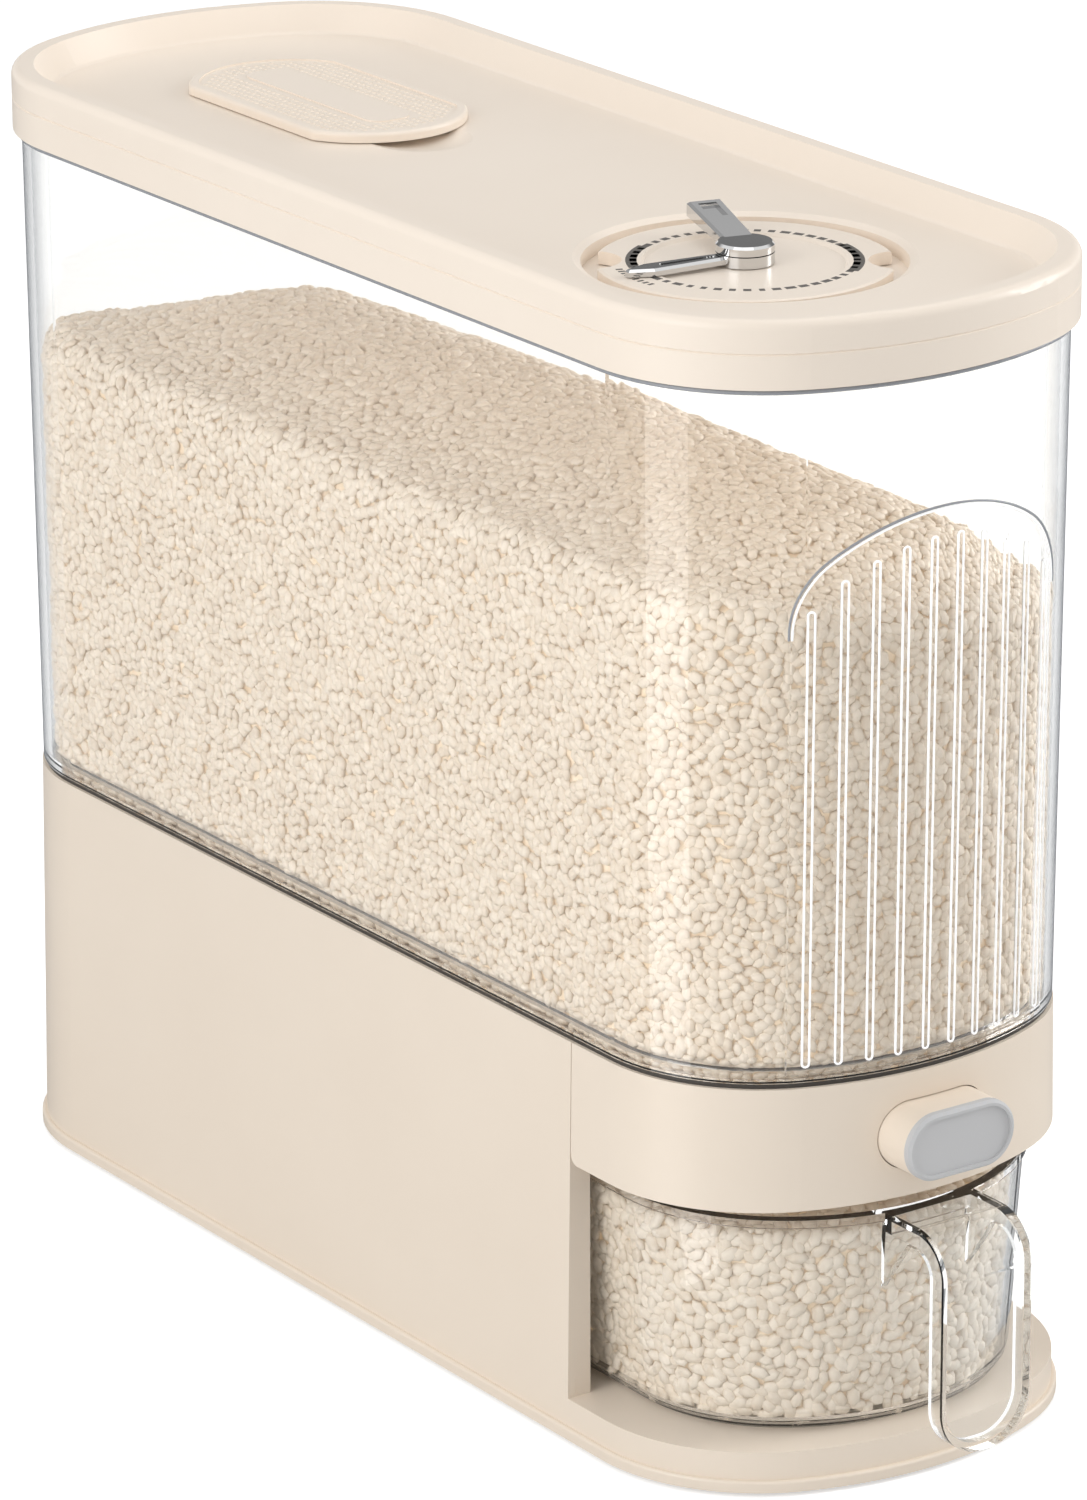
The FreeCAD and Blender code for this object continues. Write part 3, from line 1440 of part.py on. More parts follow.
disc_bottom = well_level + size.small_gap
disc_top = disc_bottom + size.dial_thickness
dish_level = disc_top - size.dial_dish
lower_hub_bottom = dish_level + size.small_gap
upper_hub_bottom = lower_hub_bottom + size.lower_hub_height + size.small_gap


def make_timer_disc():
    """Dished disc on a stub that turns in the well's floor, with two finger scoops in its edge."""
    disc = Piece("timer_disc")
    profile = disc.sketch("XZ_Plane")
    stub_bottom = well_level - size.well_floor - size.small_gap - size.retainer_thickness
    draw_polygon(profile, [(size.pin_radius, stub_bottom), (size.dial_boss_radius, stub_bottom),
                           (size.dial_boss_radius, disc_bottom), (size.dial_radius, disc_bottom),
                           (size.dial_radius, disc_top - size.dial_dish / 2),
                           (size.dial_radius - size.dial_dish, disc_top),
                           (dial_dish_radius + size.dial_dish, disc_top),
                           (dial_dish_radius, dish_level), (size.pin_radius, dish_level)])
    disc.revolve(profile)
    scoops = disc.sketch(at=disc_top)
    for sign in (-1, 1):
        draw_circle(scoops, sign * finger_offset, 0, size.finger_radius)
    disc.pocket(scoops, size.dial_thickness)
    turn_about_dial(disc.body, size.finger_angle)


def turn_about_dial(body, angle):
    """Stand a body drawn about its own origin on the dial's axis, turned by an angle."""
    bind(body, "Placement.Rotation.Angle", angle)
    bind(body, "Placement.Base.y", -dial_y)


def make_disc_retainer():
    """Ring pressed onto the disc's stub below the well."""
    ring = Piece("disc_retainer")
    profile = ring.sketch("XZ_Plane", at=-dial_y)
    top = well_level - size.well_floor - size.small_gap
    draw_box(profile, size.dial_boss_radius, top - size.retainer_thickness, size.retainer_radius, top)
    ring.revolve(profile)


def make_hub_pin():
    """Steel pin through the disc that both hands turn on."""
    pin = part_object("Cylinder", "hub_pin_rod", Radius=size.pin_radius,
                      Height=pin_top - disc_bottom)
    pin.Label = "hub_pin"
    move(pin, 0, -dial_y, disc_bottom)
    NODES.append(pin)


pin_top = upper_hub_bottom + size.upper_hub_height - size.hand_edge - size.hand_recess


def make_lower_hand():
    """Chrome hub with a low pointed arm that has a groove along it."""
    hand = Piece("lower_hand")
    hub = hand.sketch(at=lower_hub_bottom)
    draw_circle(hub, 0, 0, size.hub_radius)
    hand.pad(hub, size.lower_hub_height)
    arm_top = disc_top + size.small_gap + size.hand_thickness
    arm = hand.sketch(at=arm_top)
    half = size.lower_hand_half_width
    tip = size.lower_hand_length
    shoulder = tip - size.lower_hand_taper
    draw_polygon(arm, [(0, -size.lower_hand_root), (shoulder, -half), (tip, -size.lower_hand_tip),
                       (tip, size.lower_hand_tip), (shoulder, half), (0, size.lower_hand_root)])
    hand.pad(arm, size.hand_thickness, back=True)
    hand.soften("Chamfer", size.hand_edge, arm_edges(arm_top, size.hub_radius))
    groove = hand.sketch(at=arm_top)
    start = size.hub_radius + size.lower_groove_width
    finish = shoulder - size.lower_groove_margin
    draw_slot(groove, (start + finish) / 2, as_size(0), (finish - start) / 2,
              size.lower_groove_width / 2)
    hand.pocket(groove, size.hand_recess)
    bore = hand.sketch(at=lower_hub_bottom)
    draw_circle(bore, 0, 0, size.pin_radius + size.running_gap)
    hand.pocket(bore, size.lower_hub_height, back=True)
    turn_about_dial(hand.body, size.lower_hand_angle)


def make_upper_hand():
    """Broad arm on its own hub above the lower hand: it rises to its tip and has a sunk panel."""
    hand = Piece("upper_hand")
    top = upper_hub_bottom + size.upper_hub_height
    arm = hand.sketch(at=upper_hub_bottom)
    half = size.upper_hand_half_width
    waist = size.upper_hand_waist
    root = size.upper_hand_root
    length = size.upper_hand_length
    draw_polygon(arm, [(root, -waist), (length, -half), (length, half), (root, waist)])
    hand.pad(arm, size.upper_hub_height + size.upper_hand_rise)

    above = hand.sketch("XZ_Plane")
    ceiling = top + 2 * size.upper_hand_rise
    draw_polygon(above, [(root, top), (length, top + size.upper_hand_rise), (length, ceiling),
                         (root, ceiling)])
    hand.pocket(above, 2 * size.hub_radius, both=True)
    below = hand.sketch("XZ_Plane")
    draw_polygon(below, [(size.hub_radius, upper_hub_bottom), (length, upper_hub_bottom),
                         (length, upper_hub_bottom + size.upper_hand_lift)])
    hand.pocket(below, 2 * size.hub_radius, both=True)
    hand.soften("Chamfer", size.hand_edge, rising_edges(top))
    hub = hand.sketch("XZ_Plane")
    draw_polygon(hub, [(0, upper_hub_bottom), (size.hub_radius, upper_hub_bottom),
                       (size.hub_radius, top - size.hand_edge),
                       (size.hub_radius - size.hand_edge, top), (0, top)])
    hand.revolve(hub)

    panel_end = length - size.upper_panel_margin
    panel_start = panel_end - size.upper_panel_length
    slope = size.upper_hand_rise / (length - root)
    start_level = top + slope * (panel_start - root)
    end_level = top + slope * (panel_end - root)
    recess = size.hand_recess
    panel = hand.sketch("XZ_Plane")
    draw_polygon(panel, [(panel_start, start_level - recess), (panel_end, end_level - recess),
                         (panel_end, end_level + recess), (panel_start, start_level + recess)])
    hand.pocket(panel, 2 * (half - size.upper_panel_margin), both=True)
    bore = hand.sketch(at=upper_hub_bottom)
    draw_circle(bore, 0, 0, size.pin_radius + size.running_gap)
    hand.pocket(bore, pin_top + size.small_gap - upper_hub_bottom, back=True)
    turn_about_dial(hand.body, size.upper_hand_angle)


def rising_edges(level):
    """A test for the sides and the tip of the upper hand's sloping top."""
    root = size.upper_hand_root.value
    slope = size.upper_hand_rise.value / (size.upper_hand_length.value - root)

    def on_top(vertex):
        return abs(vertex.Z - level.value - slope * (vertex.X - root)) < 1e-4

    def chosen(edge):
        at_root = all(abs(vertex.X - root) < 1e-4 for vertex in edge.Vertexes)
        return not at_root and all(on_top(vertex) for vertex in edge.Vertexes)
    return chosen


def arm_edges(level, beyond):
    """A test for the top edges of an arm that lie outside its hub."""
    flat = level_edges(level)
    reach = beyond.value

    def chosen(edge):
        middle = edge.valueAt((edge.FirstParameter + edge.LastParameter) / 2)
        return flat(edge) and math.hypot(middle.x, middle.y) > reach + 0.01
    return chosen


# ---- build, check and write --------------------------------------------------------------------

def settle(item):
    """Move a finished node back so that the origin lies midway between the rear and the handle."""
    shift = size.handle_reach / 2
    if item.ExpressionEngine:
        for prop, formula in item.ExpressionEngine:
            if prop.lstrip(".") == "Placement.Base.y":
                shift = Size(f"({formula} + {shift.formula})", 0)
    bind(item, "Placement.Base.y", shift)


make_base_plate()
make_feet()
make_screws()
make_base_housing()
make_bay_liner()
make_front_band()
make_outlet_guide()
make_hopper()
make_return_springs()
make_gate_plate()
make_button_body()
make_button_pad()
make_tank_seal()
make_tank()
make_measuring_cup()
make_lid_frame()
make_lid_cover()
make_lid_seal()
make_desiccant_box()
make_desiccant_cover()
make_timer_disc()
make_disc_retainer()
make_hub_pin()
make_lower_hand()
make_upper_hand()
for node in NODES:
    settle(node)
doc.recompute()

for item in doc.Objects:
    if "Invalid" in item.State or "Error" in item.State:
        raise RuntimeError(f"{item.Label}: {item.State}")
for node in NODES:
    if node.Shape.isNull() or not node.Shape.isValid():
        raise RuntimeError(f"{node.Label}: bad shape")
for node in NODES:
    node.Shape.exportStep(f"parts/{node.Label}.step")
    box = node.Shape.BoundBox
    print(f"{node.Label}: {len(node.Shape.Solids)} solids, {node.Shape.Volume:.0f} mm3, "
          f"{box.XLength:.1f} x {box.YLength:.1f} x {box.ZLength:.1f} mm")
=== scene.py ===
"""Looks of the rice dispenser: its plastics, metals and rubbers, the rice inside it, the marks on its
date dial and the grip texture of the desiccant cover, with a plain white studio round it.

Lengths are in metres and the front of the dispenser is at -Y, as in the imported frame.
"""
import math

import bmesh
import bpy
from mathutils import Matrix, Vector


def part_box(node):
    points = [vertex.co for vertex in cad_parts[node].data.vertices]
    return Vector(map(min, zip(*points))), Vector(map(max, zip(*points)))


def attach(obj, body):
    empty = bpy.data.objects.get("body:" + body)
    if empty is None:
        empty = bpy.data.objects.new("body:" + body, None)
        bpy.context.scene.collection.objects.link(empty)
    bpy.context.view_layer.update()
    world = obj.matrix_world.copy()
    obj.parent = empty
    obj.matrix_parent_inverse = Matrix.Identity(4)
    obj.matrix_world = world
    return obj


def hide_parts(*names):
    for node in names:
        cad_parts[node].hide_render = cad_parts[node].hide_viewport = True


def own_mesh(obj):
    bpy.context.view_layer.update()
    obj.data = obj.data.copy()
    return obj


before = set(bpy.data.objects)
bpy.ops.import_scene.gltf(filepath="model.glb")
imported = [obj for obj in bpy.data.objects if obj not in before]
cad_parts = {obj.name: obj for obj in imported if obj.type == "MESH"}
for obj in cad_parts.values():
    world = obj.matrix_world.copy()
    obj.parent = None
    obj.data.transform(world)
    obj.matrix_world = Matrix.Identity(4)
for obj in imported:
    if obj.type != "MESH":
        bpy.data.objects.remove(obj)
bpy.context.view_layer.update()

MM = 0.001

# The lid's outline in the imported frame, with its middle a little behind the frame's origin.
CENTRE_Y = 10 * MM
LID_HALF_WIDTH = 73 * MM
LID_HALF_LENGTH = 195 * MM
LID_CORNER = 53 * MM
END_BOW = 4 * MM

# The tank's inner wall leans outwards from its foot to its mouth. Its insets are taken from the
# lid's outline.
TANK_WALL = 2.4 * MM
TANK_FOOT = 118.6 * MM
TANK_MOUTH = 317.2 * MM
TANK_FOOT_INSET = 6.6 * MM
TANK_MOUTH_INSET = 4.9 * MM

# The cup's inner wall leans outwards too. It is round to the front, squarer behind, and has a curved
# foot that ends at CUP_ROUND_TOP.
CUP_FOOT = 12.8 * MM
CUP_MOUTH = 77.5 * MM
CUP_FOOT_INSET = 6.2 * MM
CUP_MOUTH_INSET = 2.2 * MM
CUP_ROUND_TOP = 19 * MM
CUP_ROUND_SPREAD = 8 * MM
CUP_CENTRE_Y = CENTRE_Y - 134 * MM
CUP_HALF_WIDTH = 61.2 * MM
CUP_HALF_LENGTH = 56 * MM
CUP_FRONT_CORNER = 50 * MM
CUP_REAR_CORNER = 18 * MM
CUP_FRONT_BOW = 4 * MM
CUP_REAR_BOW = 0.6 * MM


# ---- nodes, meshes and objects -----------------------------------------------------------------

def pick(sockets, name):
    """The socket in use with this name, or the one with this number."""
    if isinstance(name, int):
        return sockets[name]
    return next(socket for socket in sockets if socket.name == name and socket.enabled)


def add(tree, kind, inputs=None, **settings):
    """Add a node with its settings and links; an input takes a value, a node or a node's output."""
    node = tree.nodes.new(kind)
    for name, value in settings.items():
        setattr(node, name, value)
    for name, value in (inputs or {}).items():
        socket = pick(node.inputs, name)
        if isinstance(value, bpy.types.Node):
            value = next(output for output in value.outputs if output.enabled)
        if isinstance(value, bpy.types.NodeSocket):
            tree.links.new(value, socket)
        else:
            socket.default_value = value
    return node


def linear(code):
    """The linear colour of an sRGB hex code."""
    shares = [int(code[at:at + 2], 16) / 255 for at in (1, 3, 5)]
    return tuple(c / 12.92 if c <= 0.04045 else ((c + 0.055) / 1.055) ** 2.4 for c in shares) + (1.0,)


def new_material(name):
    """A material with nothing in it but its output, and its node tree."""
    material = bpy.data.materials.new(name)
    material.use_nodes = True
    tree = material.node_tree
    tree.nodes.clear()
    return material, tree


def show(tree, shader):
    """Send a shader to the material's output."""
    add(tree, "ShaderNodeOutputMaterial", {"Surface": shader})


def put(name, data):
    """A new object in the scene, at the origin."""
    thing = bpy.data.objects.new(name, data)
    bpy.context.scene.collection.objects.link(thing)
    return thing


def grown_tree(name, inputs):
    """A Geometry Nodes tree with a mesh input and named inputs, given as name: (socket type, value)."""
    tree = bpy.data.node_groups.new(name, "GeometryNodeTree")
    tree.interface.new_socket("Mesh", in_out="INPUT", socket_type="NodeSocketGeometry")
    for label, (kind, value) in inputs.items():
        socket = tree.interface.new_socket(label, in_out="INPUT", socket_type=kind)
        socket.default_value = value
    tree.interface.new_socket("Mesh", in_out="OUTPUT", socket_type="NodeSocketGeometry")
    return tree


def end_tree(tree, geometry, finish):
    """Make the copies in a tree's geometry real, give them their finish and send them out."""
    real = add(tree, "GeometryNodeRealizeInstances", {"Geometry": geometry})
    done = add(tree, "GeometryNodeSetMaterial", {"Geometry": real, "Material": finish})
    add(tree, "NodeGroupOutput", {"Mesh": done})


def grow(name, tree, base, values):
    """A plain mesh piece that a tree makes from a base mesh with these input values."""
    carrier = put(name, base)
    modifier = carrier.modifiers.new("nodes", "NODES")
    modifier.node_group = tree
    for item in tree.interface.items_tree:
        if item.in_out == "INPUT" and item.name in values:
            modifier[item.identifier] = values[item.name]
    graph = bpy.context.evaluated_depsgraph_get()
    mesh = bpy.data.meshes.new_from_object(carrier.evaluated_get(graph))
    bpy.data.objects.remove(carrier)
    return put(name, mesh)


# ---- colours and materials ---------------------------------------------------------------------

def moulded_plastic(name, colour, shade, roughness, grain=0.35, grip=0.05, ior=1.49):
    """Injection-moulded plastic from a spark-eroded mould: satin, with a grain felt more than seen.

    The grain's size is in mm, and the colour drifts a little over some 60 mm, as melt does.
    """
    material, tree = new_material(name)
    place = pick(add(tree, "ShaderNodeTexCoord").outputs, "Object")
    drift = add(tree, "ShaderNodeTexNoise", {"Vector": place, "Scale": 1 / (60 * MM), "Detail": 2.0})
    tint = add(tree, "ShaderNodeMix", {"Factor": drift, "A": linear(colour), "B": linear(shade)},
               data_type="RGBA")
    fine = add(tree, "ShaderNodeTexNoise", {"Vector": place, "Scale": 1 / (grain * MM),
                                            "Detail": 3.0, "Roughness": 0.6})
    gloss = add(tree, "ShaderNodeMapRange", {"Value": fine, "From Min": 0.3, "From Max": 0.7,
                                             "To Min": roughness - 0.05,
                                             "To Max": roughness + 0.05})
    bump = add(tree, "ShaderNodeBump", {"Height": fine, "Strength": grip, "Distance": 0.1 * MM})
    show(tree, add(tree, "ShaderNodeBsdfPrincipled",
                   {"Base Color": tint, "Roughness": gloss, "Normal": bump, "IOR": ior}))
    return material


def clear_plastic(name, tint, edge):
    """Injection-moulded SAN: glass-clear and polished, with the faint flow ripple of a mould.

    A wall seen nearly edge-on is a long way through, so it goes towards the edge colour. Lamp rays
    go straight through, so that what is inside is lit as it is behind a thin clear wall.
    """
    material, tree = new_material(name)
    place = pick(add(tree, "ShaderNodeTexCoord").outputs, "Object")
    ripple = add(tree, "ShaderNodeTexNoise", {"Vector": place, "Scale": 1 / (35 * MM), "Detail": 1.0})
    bump = add(tree, "ShaderNodeBump", {"Height": ripple, "Strength": 0.04, "Distance": 0.4 * MM})
    facing = pick(add(tree, "ShaderNodeLayerWeight", {"Blend": 0.5}).outputs, "Facing")
    depth = add(tree, "ShaderNodeMapRange", {"Value": facing, "From Min": 0.56, "From Max": 1.0})
    colour = add(tree, "ShaderNodeMix", {"Factor": depth, "A": linear(tint), "B": linear(edge)},
                 data_type="RGBA")
    body = add(tree, "ShaderNodeBsdfPrincipled",
               {"Base Color": colour, "Roughness": 0.015, "IOR": 1.5, "Transmission Weight": 1.0,
                "Normal": bump})
    through = add(tree, "ShaderNodeBsdfTransparent", {"Color": linear("#F8F8F8")})
    lamp_ray = pick(add(tree, "ShaderNodeLightPath").outputs, "Is Shadow Ray")
    show(tree, add(tree, "ShaderNodeMixShader", {0: lamp_ray, 1: body, 2: through}))
    return material


def painted_edge_line(name, colour, glow=0.0):
    """A thin bead that paints a line of light or shade along an edge of the clear SAN: white with a glow
    for a painted highlight, grey for a painted shade line.
    """
    material, tree = new_material(name)
    place = pick(add(tree, "ShaderNodeTexCoord").outputs, "Object")
    streak = add(tree, "ShaderNodeTexNoise", {"Vector": place, "Scale": 1 / (12 * MM), "Detail": 2.0})
    gloss = add(tree, "ShaderNodeMapRange", {"Value": streak, "To Min": 0.15, "To Max": 0.35})
    show(tree, add(tree, "ShaderNodeBsdfPrincipled",
                   {"Base Color": linear(colour), "Roughness": gloss, "IOR": 1.5,
                    "Emission Color": linear(colour), "Emission Strength": glow}))
    return material


def rice_grain():
    """Polished short-grain rice: milky and slightly waxy, no two grains quite the same white.

    The faint glow stands for the light that the grains hand on to each other.
    """
    material, tree = new_material("polished_rice")
    tone = pick(add(tree, "ShaderNodeAttribute", attribute_name="grain_tone").outputs, "Fac")
    place = pick(add(tree, "ShaderNodeTexCoord").outputs, "Object")
    chalk = add(tree, "ShaderNodeTexNoise", {"Vector": place, "Scale": 1 / (2 * MM), "Detail": 1.0})
    blend = add(tree, "ShaderNodeMath", {0: tone, 1: chalk}, operation="MULTIPLY")
    colour = add(tree, "ShaderNodeMix", {"Factor": blend, "A": linear("#E8DCCC"),
                                         "B": linear("#D1BFA9")}, data_type="RGBA")
    show(tree, add(tree, "ShaderNodeBsdfPrincipled",
                   {"Base Color": colour, "Roughness": 0.38, "IOR": 1.45,
                    "Emission Color": linear("#DCCAB2"), "Emission Strength": 0.07}))
    return material


def rice_depth():
    """The rice below the outer grains, seen only in the gaps between them: matt and mottled.

    It glows more than the grains do, because light reaches a real gap from all sides.
    """
    material, tree = new_material("rice_depth")
    place = pick(add(tree, "ShaderNodeTexCoord").outputs, "Object")
    cells = add(tree, "ShaderNodeTexVoronoi", {"Vector": place, "Scale": 1 / (3 * MM)})
    colour = add(tree, "ShaderNodeMix", {"Factor": cells, "A": linear("#EFE2CF"),
                                         "B": linear("#D9C5A8")}, data_type="RGBA")
    show(tree, add(tree, "ShaderNodeBsdfPrincipled",
                   {"Base Color": colour, "Roughness": 0.7, "IOR": 1.45,
                    "Emission Color": linear("#D8C3A6"), "Emission Strength": 0.24}))
    return material


def plated_metal(name, colour, roughness, mark):
    """Bright metal whose gloss varies with the faint haze of handling, in marks of this size in mm."""
    material, tree = new_material(name)
    place = pick(add(tree, "ShaderNodeTexCoord").outputs, "Object")
    haze = add(tree, "ShaderNodeTexNoise", {"Vector": place, "Scale": 1 / (mark * MM), "Detail": 3.0})
    gloss = add(tree, "ShaderNodeMapRange", {"Value": haze, "From Min": 0.3, "From Max": 0.7,
                                             "To Min": roughness * 0.7, "To Max": roughness * 1.5})
    show(tree, add(tree, "ShaderNodeBsdfPrincipled",
                   {"Base Color": linear(colour), "Metallic": 1.0, "Roughness": gloss}))
    return material


# The housings, and the lid's parts in a slightly paler batch of the same plastic.
CREAM_PP = moulded_plastic("cream_polypropylene", "#EFE2D2", "#EADCCB", 0.36)
CREAM_LID_PP = moulded_plastic("cream_polypropylene_lid", "#F6EADC", "#F1E4D5", 0.36)
GREY_TPE = moulded_plastic("grey_soft_touch_elastomer", "#C9C9CA", "#C3C3C4", 0.6, grain=0.5,
                           grip=0.08, ior=1.5)
DARK_EPDM = moulded_plastic("dark_epdm_gasket", "#4A4540", "#3B3733", 0.55, grain=0.6, grip=0.1,
                            ior=1.52)
MILKY_SILICONE = moulded_plastic("milky_silicone", "#E6E3DC", "#DCD9D2", 0.5, grain=0.6, grip=0.06,
                                 ior=1.41)
FOOT_RUBBER = moulded_plastic("black_foot_rubber", "#35322F", "#2C2A28", 0.8, grain=0.8, grip=0.15,
                              ior=1.52)
PRINT_INK = moulded_plastic("dark_pad_print", "#57534F", "#625E59", 0.5, grain=0.5, grip=0.02)
# White beads that glow paint the highlights along the ribs and the arch.
PAINTED_HIGHLIGHT = painted_edge_line("painted_highlight_line", "#FFFFFF", glow=0.25)
# Grey beads paint the shade lines outside the arch and under the lid's rim.
PAINTED_SHADE = painted_edge_line("painted_shade_line", "#9C9FA4")
CLEAR_TANK = clear_plastic("clear_san_tank", "#FDFDFC", "#69717C")
CLEAR_CUP = clear_plastic("clear_san_cup", "#FBFCFC", "#69717C")
RICE = rice_grain()
RICE_DEPTH = rice_depth()
CHROME = plated_metal("chrome_plated_zinc", "#D8D8D8", 0.07, 9)
STEEL = plated_metal("zinc_plated_steel", "#B9BABC", 0.25, 3)

FINISHES = {
    CREAM_PP: ("base_plate", "base_housing", "bay_liner", "front_band", "outlet_guide", "hopper",
               "gate_plate", "button_body"),
    CREAM_LID_PP: ("lid_frame", "lid_cover", "desiccant_box", "desiccant_cover", "timer_disc",
                   "disc_retainer"),
    GREY_TPE: ("button_pad",),
    DARK_EPDM: ("tank_seal",),
    MILKY_SILICONE: ("lid_seal",),
    FOOT_RUBBER: ("rubber_feet",),
    CLEAR_TANK: ("tank",),
    CLEAR_CUP: ("measuring_cup",),
    CHROME: ("lower_hand", "upper_hand"),
    STEEL: ("hub_pin", "return_springs", "housing_screws"),
}
for finish, names in FINISHES.items():
    for name in names:
        for material_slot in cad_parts[name].material_slots:
            material_slot.material = finish


# ---- outlines of the tank and the cup ----------------------------------------------------------

def arc_points(centre, radius, start, end, steps):
    """Points on an arc between two angles in degrees, without its last point."""
    turns = [math.radians(start + (end - start) * step / steps) for step in range(steps)]
    return [(centre[0] + radius * math.cos(turn), centre[1] + radius * math.sin(turn)) for turn in turns]


def outline(half_width, half_length, corner, bow, centre_y, rear_corner=None, rear_bow=None):
    """A ring of points: straight sides, round corners and bowed ends, as all the housings have."""
    arc_steps = 14
    side_steps = 24
    points = []
    for sign, turn, radius, rise in ((1, 0, rear_corner or corner, rear_bow or bow),
                                     (-1, 180, corner, bow)):
        across = half_width - radius
        swing = (across * across + rise * rise) / (2 * rise)
        lean = math.degrees(math.asin(across / swing))
        corner_y = centre_y + sign * (half_length - rise - radius)
        bow_y = centre_y + sign * (half_length - radius - swing)
        points += arc_points((sign * across, corner_y), radius, turn, turn + 90 - lean, arc_steps)
        points += arc_points((0, bow_y), swing + radius, turn + 90 - lean, turn + 90 + lean, arc_steps)
        points += arc_points((-sign * across, corner_y), radius, turn + 90 + lean, turn + 180, arc_steps)
        other = centre_y - sign * (half_length - bow - corner)
        points += [(-sign * half_width, corner_y + (other - corner_y) * step / side_steps)
                   for step in range(side_steps)]
    return points


def tank_outline(level, inset):
    """The tank's inner wall at a level, moved inwards."""
    share = (level - TANK_FOOT) / (TANK_MOUTH - TANK_FOOT)
    inwards = TANK_FOOT_INSET + (TANK_MOUTH_INSET - TANK_FOOT_INSET) * share + inset
    return outline(LID_HALF_WIDTH - inwards, LID_HALF_LENGTH - inwards, LID_CORNER - inwards,
                   END_BOW, CENTRE_Y)


def cup_outline(level, inset):
    """The cup's inner wall at a level, moved inwards."""
    share = (level - CUP_FOOT) / (CUP_MOUTH - CUP_FOOT)
    inwards = CUP_FOOT_INSET + (CUP_MOUTH_INSET - CUP_FOOT_INSET) * share + inset
    below_round = max(0.0, CUP_ROUND_TOP - level)
    inwards += below_round * below_round / CUP_ROUND_SPREAD
    return outline(CUP_HALF_WIDTH - inwards, CUP_HALF_LENGTH - inwards, CUP_FRONT_CORNER - inwards,
                   CUP_FRONT_BOW, CUP_CENTRE_Y, CUP_REAR_CORNER - inwards, CUP_REAR_BOW)


# ---- rice --------------------------------------------------------------------------------------

# A grain is an ellipsoid with this length, width and thickness. In the cup the grains lie looser
# and show more of their length.
GRAIN_SIZE = Vector((5.4, 3.8, 2.4)) * MM
GRAIN_SPACING = 2.15 * MM
CUP_GRAIN_SIZE = Vector((6.6, 4.3, 2.4)) * MM
CUP_GRAIN_SPACING = 2.6 * MM
# The most that a grain tips out of the surface it lies on, in radians.
GRAIN_TIP = 0.28
# The middle of the outer grains stays this far from the wall, and the bed lies a little below them.
WALL_CLEARANCE = 2.1 * MM
BED_DEPTH = 0.9 * MM
TANK_ROWS = 8
# How far from its shoulder the heap reaches its full height.
HEAP_FOOT = 46 * MM
# The round between the rice at the wall and the heap: wide in the tank, slight in the cup.
TANK_SHOULDER = 9 * MM
CUP_SHOULDER = 1.5 * MM
# The angles in degrees of the rings round a shoulder.
SHOULDER_DEGREES = (0, 22.5, 45, 67.5, 90)
# Where the rings over the heap lie, as shares of the way from its middle out to its shoulder.
HEAP_RINGS = (0.95, 0.89, 0.81, 0.71, 0.6, 0.48, 0.34, 0.2, 0.08)
# The level and extra inset of each ring of rice up a wall. The tank's first four lie in the opening
# in its foot and just above it.
TANK_STEPS = [(level * MM, extra * MM)
              for level, extra in ((115.2, 5.4), (117.2, 5.4), (118.4, 3.2), (121.4, 3.2))]
TANK_STEPS += [((123.4 + 11 * step) * MM, 0) for step in range(10)]
CUP_STEPS = [((17.2 + 7.6 * step) * MM, 0) for step in range(8)]
# The rice's level at the tank's wall, higher at the left, and along the middle of its heap. The tilt
# is what the level gains or loses over the half width.
TANK_BRIM = 247.5 * MM
TANK_BRIM_TILT = 8.5 * MM
TANK_RICE_HALF_WIDTH = 67 * MM
TANK_BRIM_SAG = 3 * MM
TANK_CREST = 261.5 * MM
TANK_CREST_SAG = 5 * MM
# From here to the rear the rice has sagged towards the outlet.
SAG_START_Y = -20 * MM
SAG_LENGTH = 190 * MM
CUP_BRIM = 73.5 * MM
CUP_CREST = 76 * MM


def quartered(ring):
    """The same ring with three more points between each two."""
    finer = []
    for near, far in zip(ring, ring[1:] + ring[:1]):
        finer += [tuple(a + (b - a) * step / 4 for a, b in zip(near, far)) for step in range(4)]
    return finer


def ring_distance(spot, ring):
    """How far a point is from the nearest stretch of a closed ring of points."""
    nearest = math.inf
    for near, far in zip(ring, ring[1:] + ring[:1]):
        along = far - near
        share = max(0, min(1, (spot - near).dot(along) / along.dot(along)))
        nearest = min(nearest, (near + along * share - spot).length)
    return nearest


def heap_top(shell, brim, crest, coarse, inset):
    """Rings of vertices inwards over a heap, from its shoulder's inner edge."""
    rim = [Vector(point) for point in quartered(coarse)]
    coarse = [Vector(point) for point in coarse]
    middle = sum(rim, Vector((0, 0))) / len(rim)
    rings = []
    for share in HEAP_RINGS:
        ring = []
        for at in rim:
            flat = middle + (at - middle) * share
            risen = math.sin(math.pi / 2 * min(1, ring_distance(flat, coarse) / HEAP_FOOT))
            low = brim(flat.x, flat.y)
            ring.append(shell.verts.new((flat.x, flat.y, low + (crest(flat.y) - low) * risen - inset)))
        rings.append(ring)
    return rings


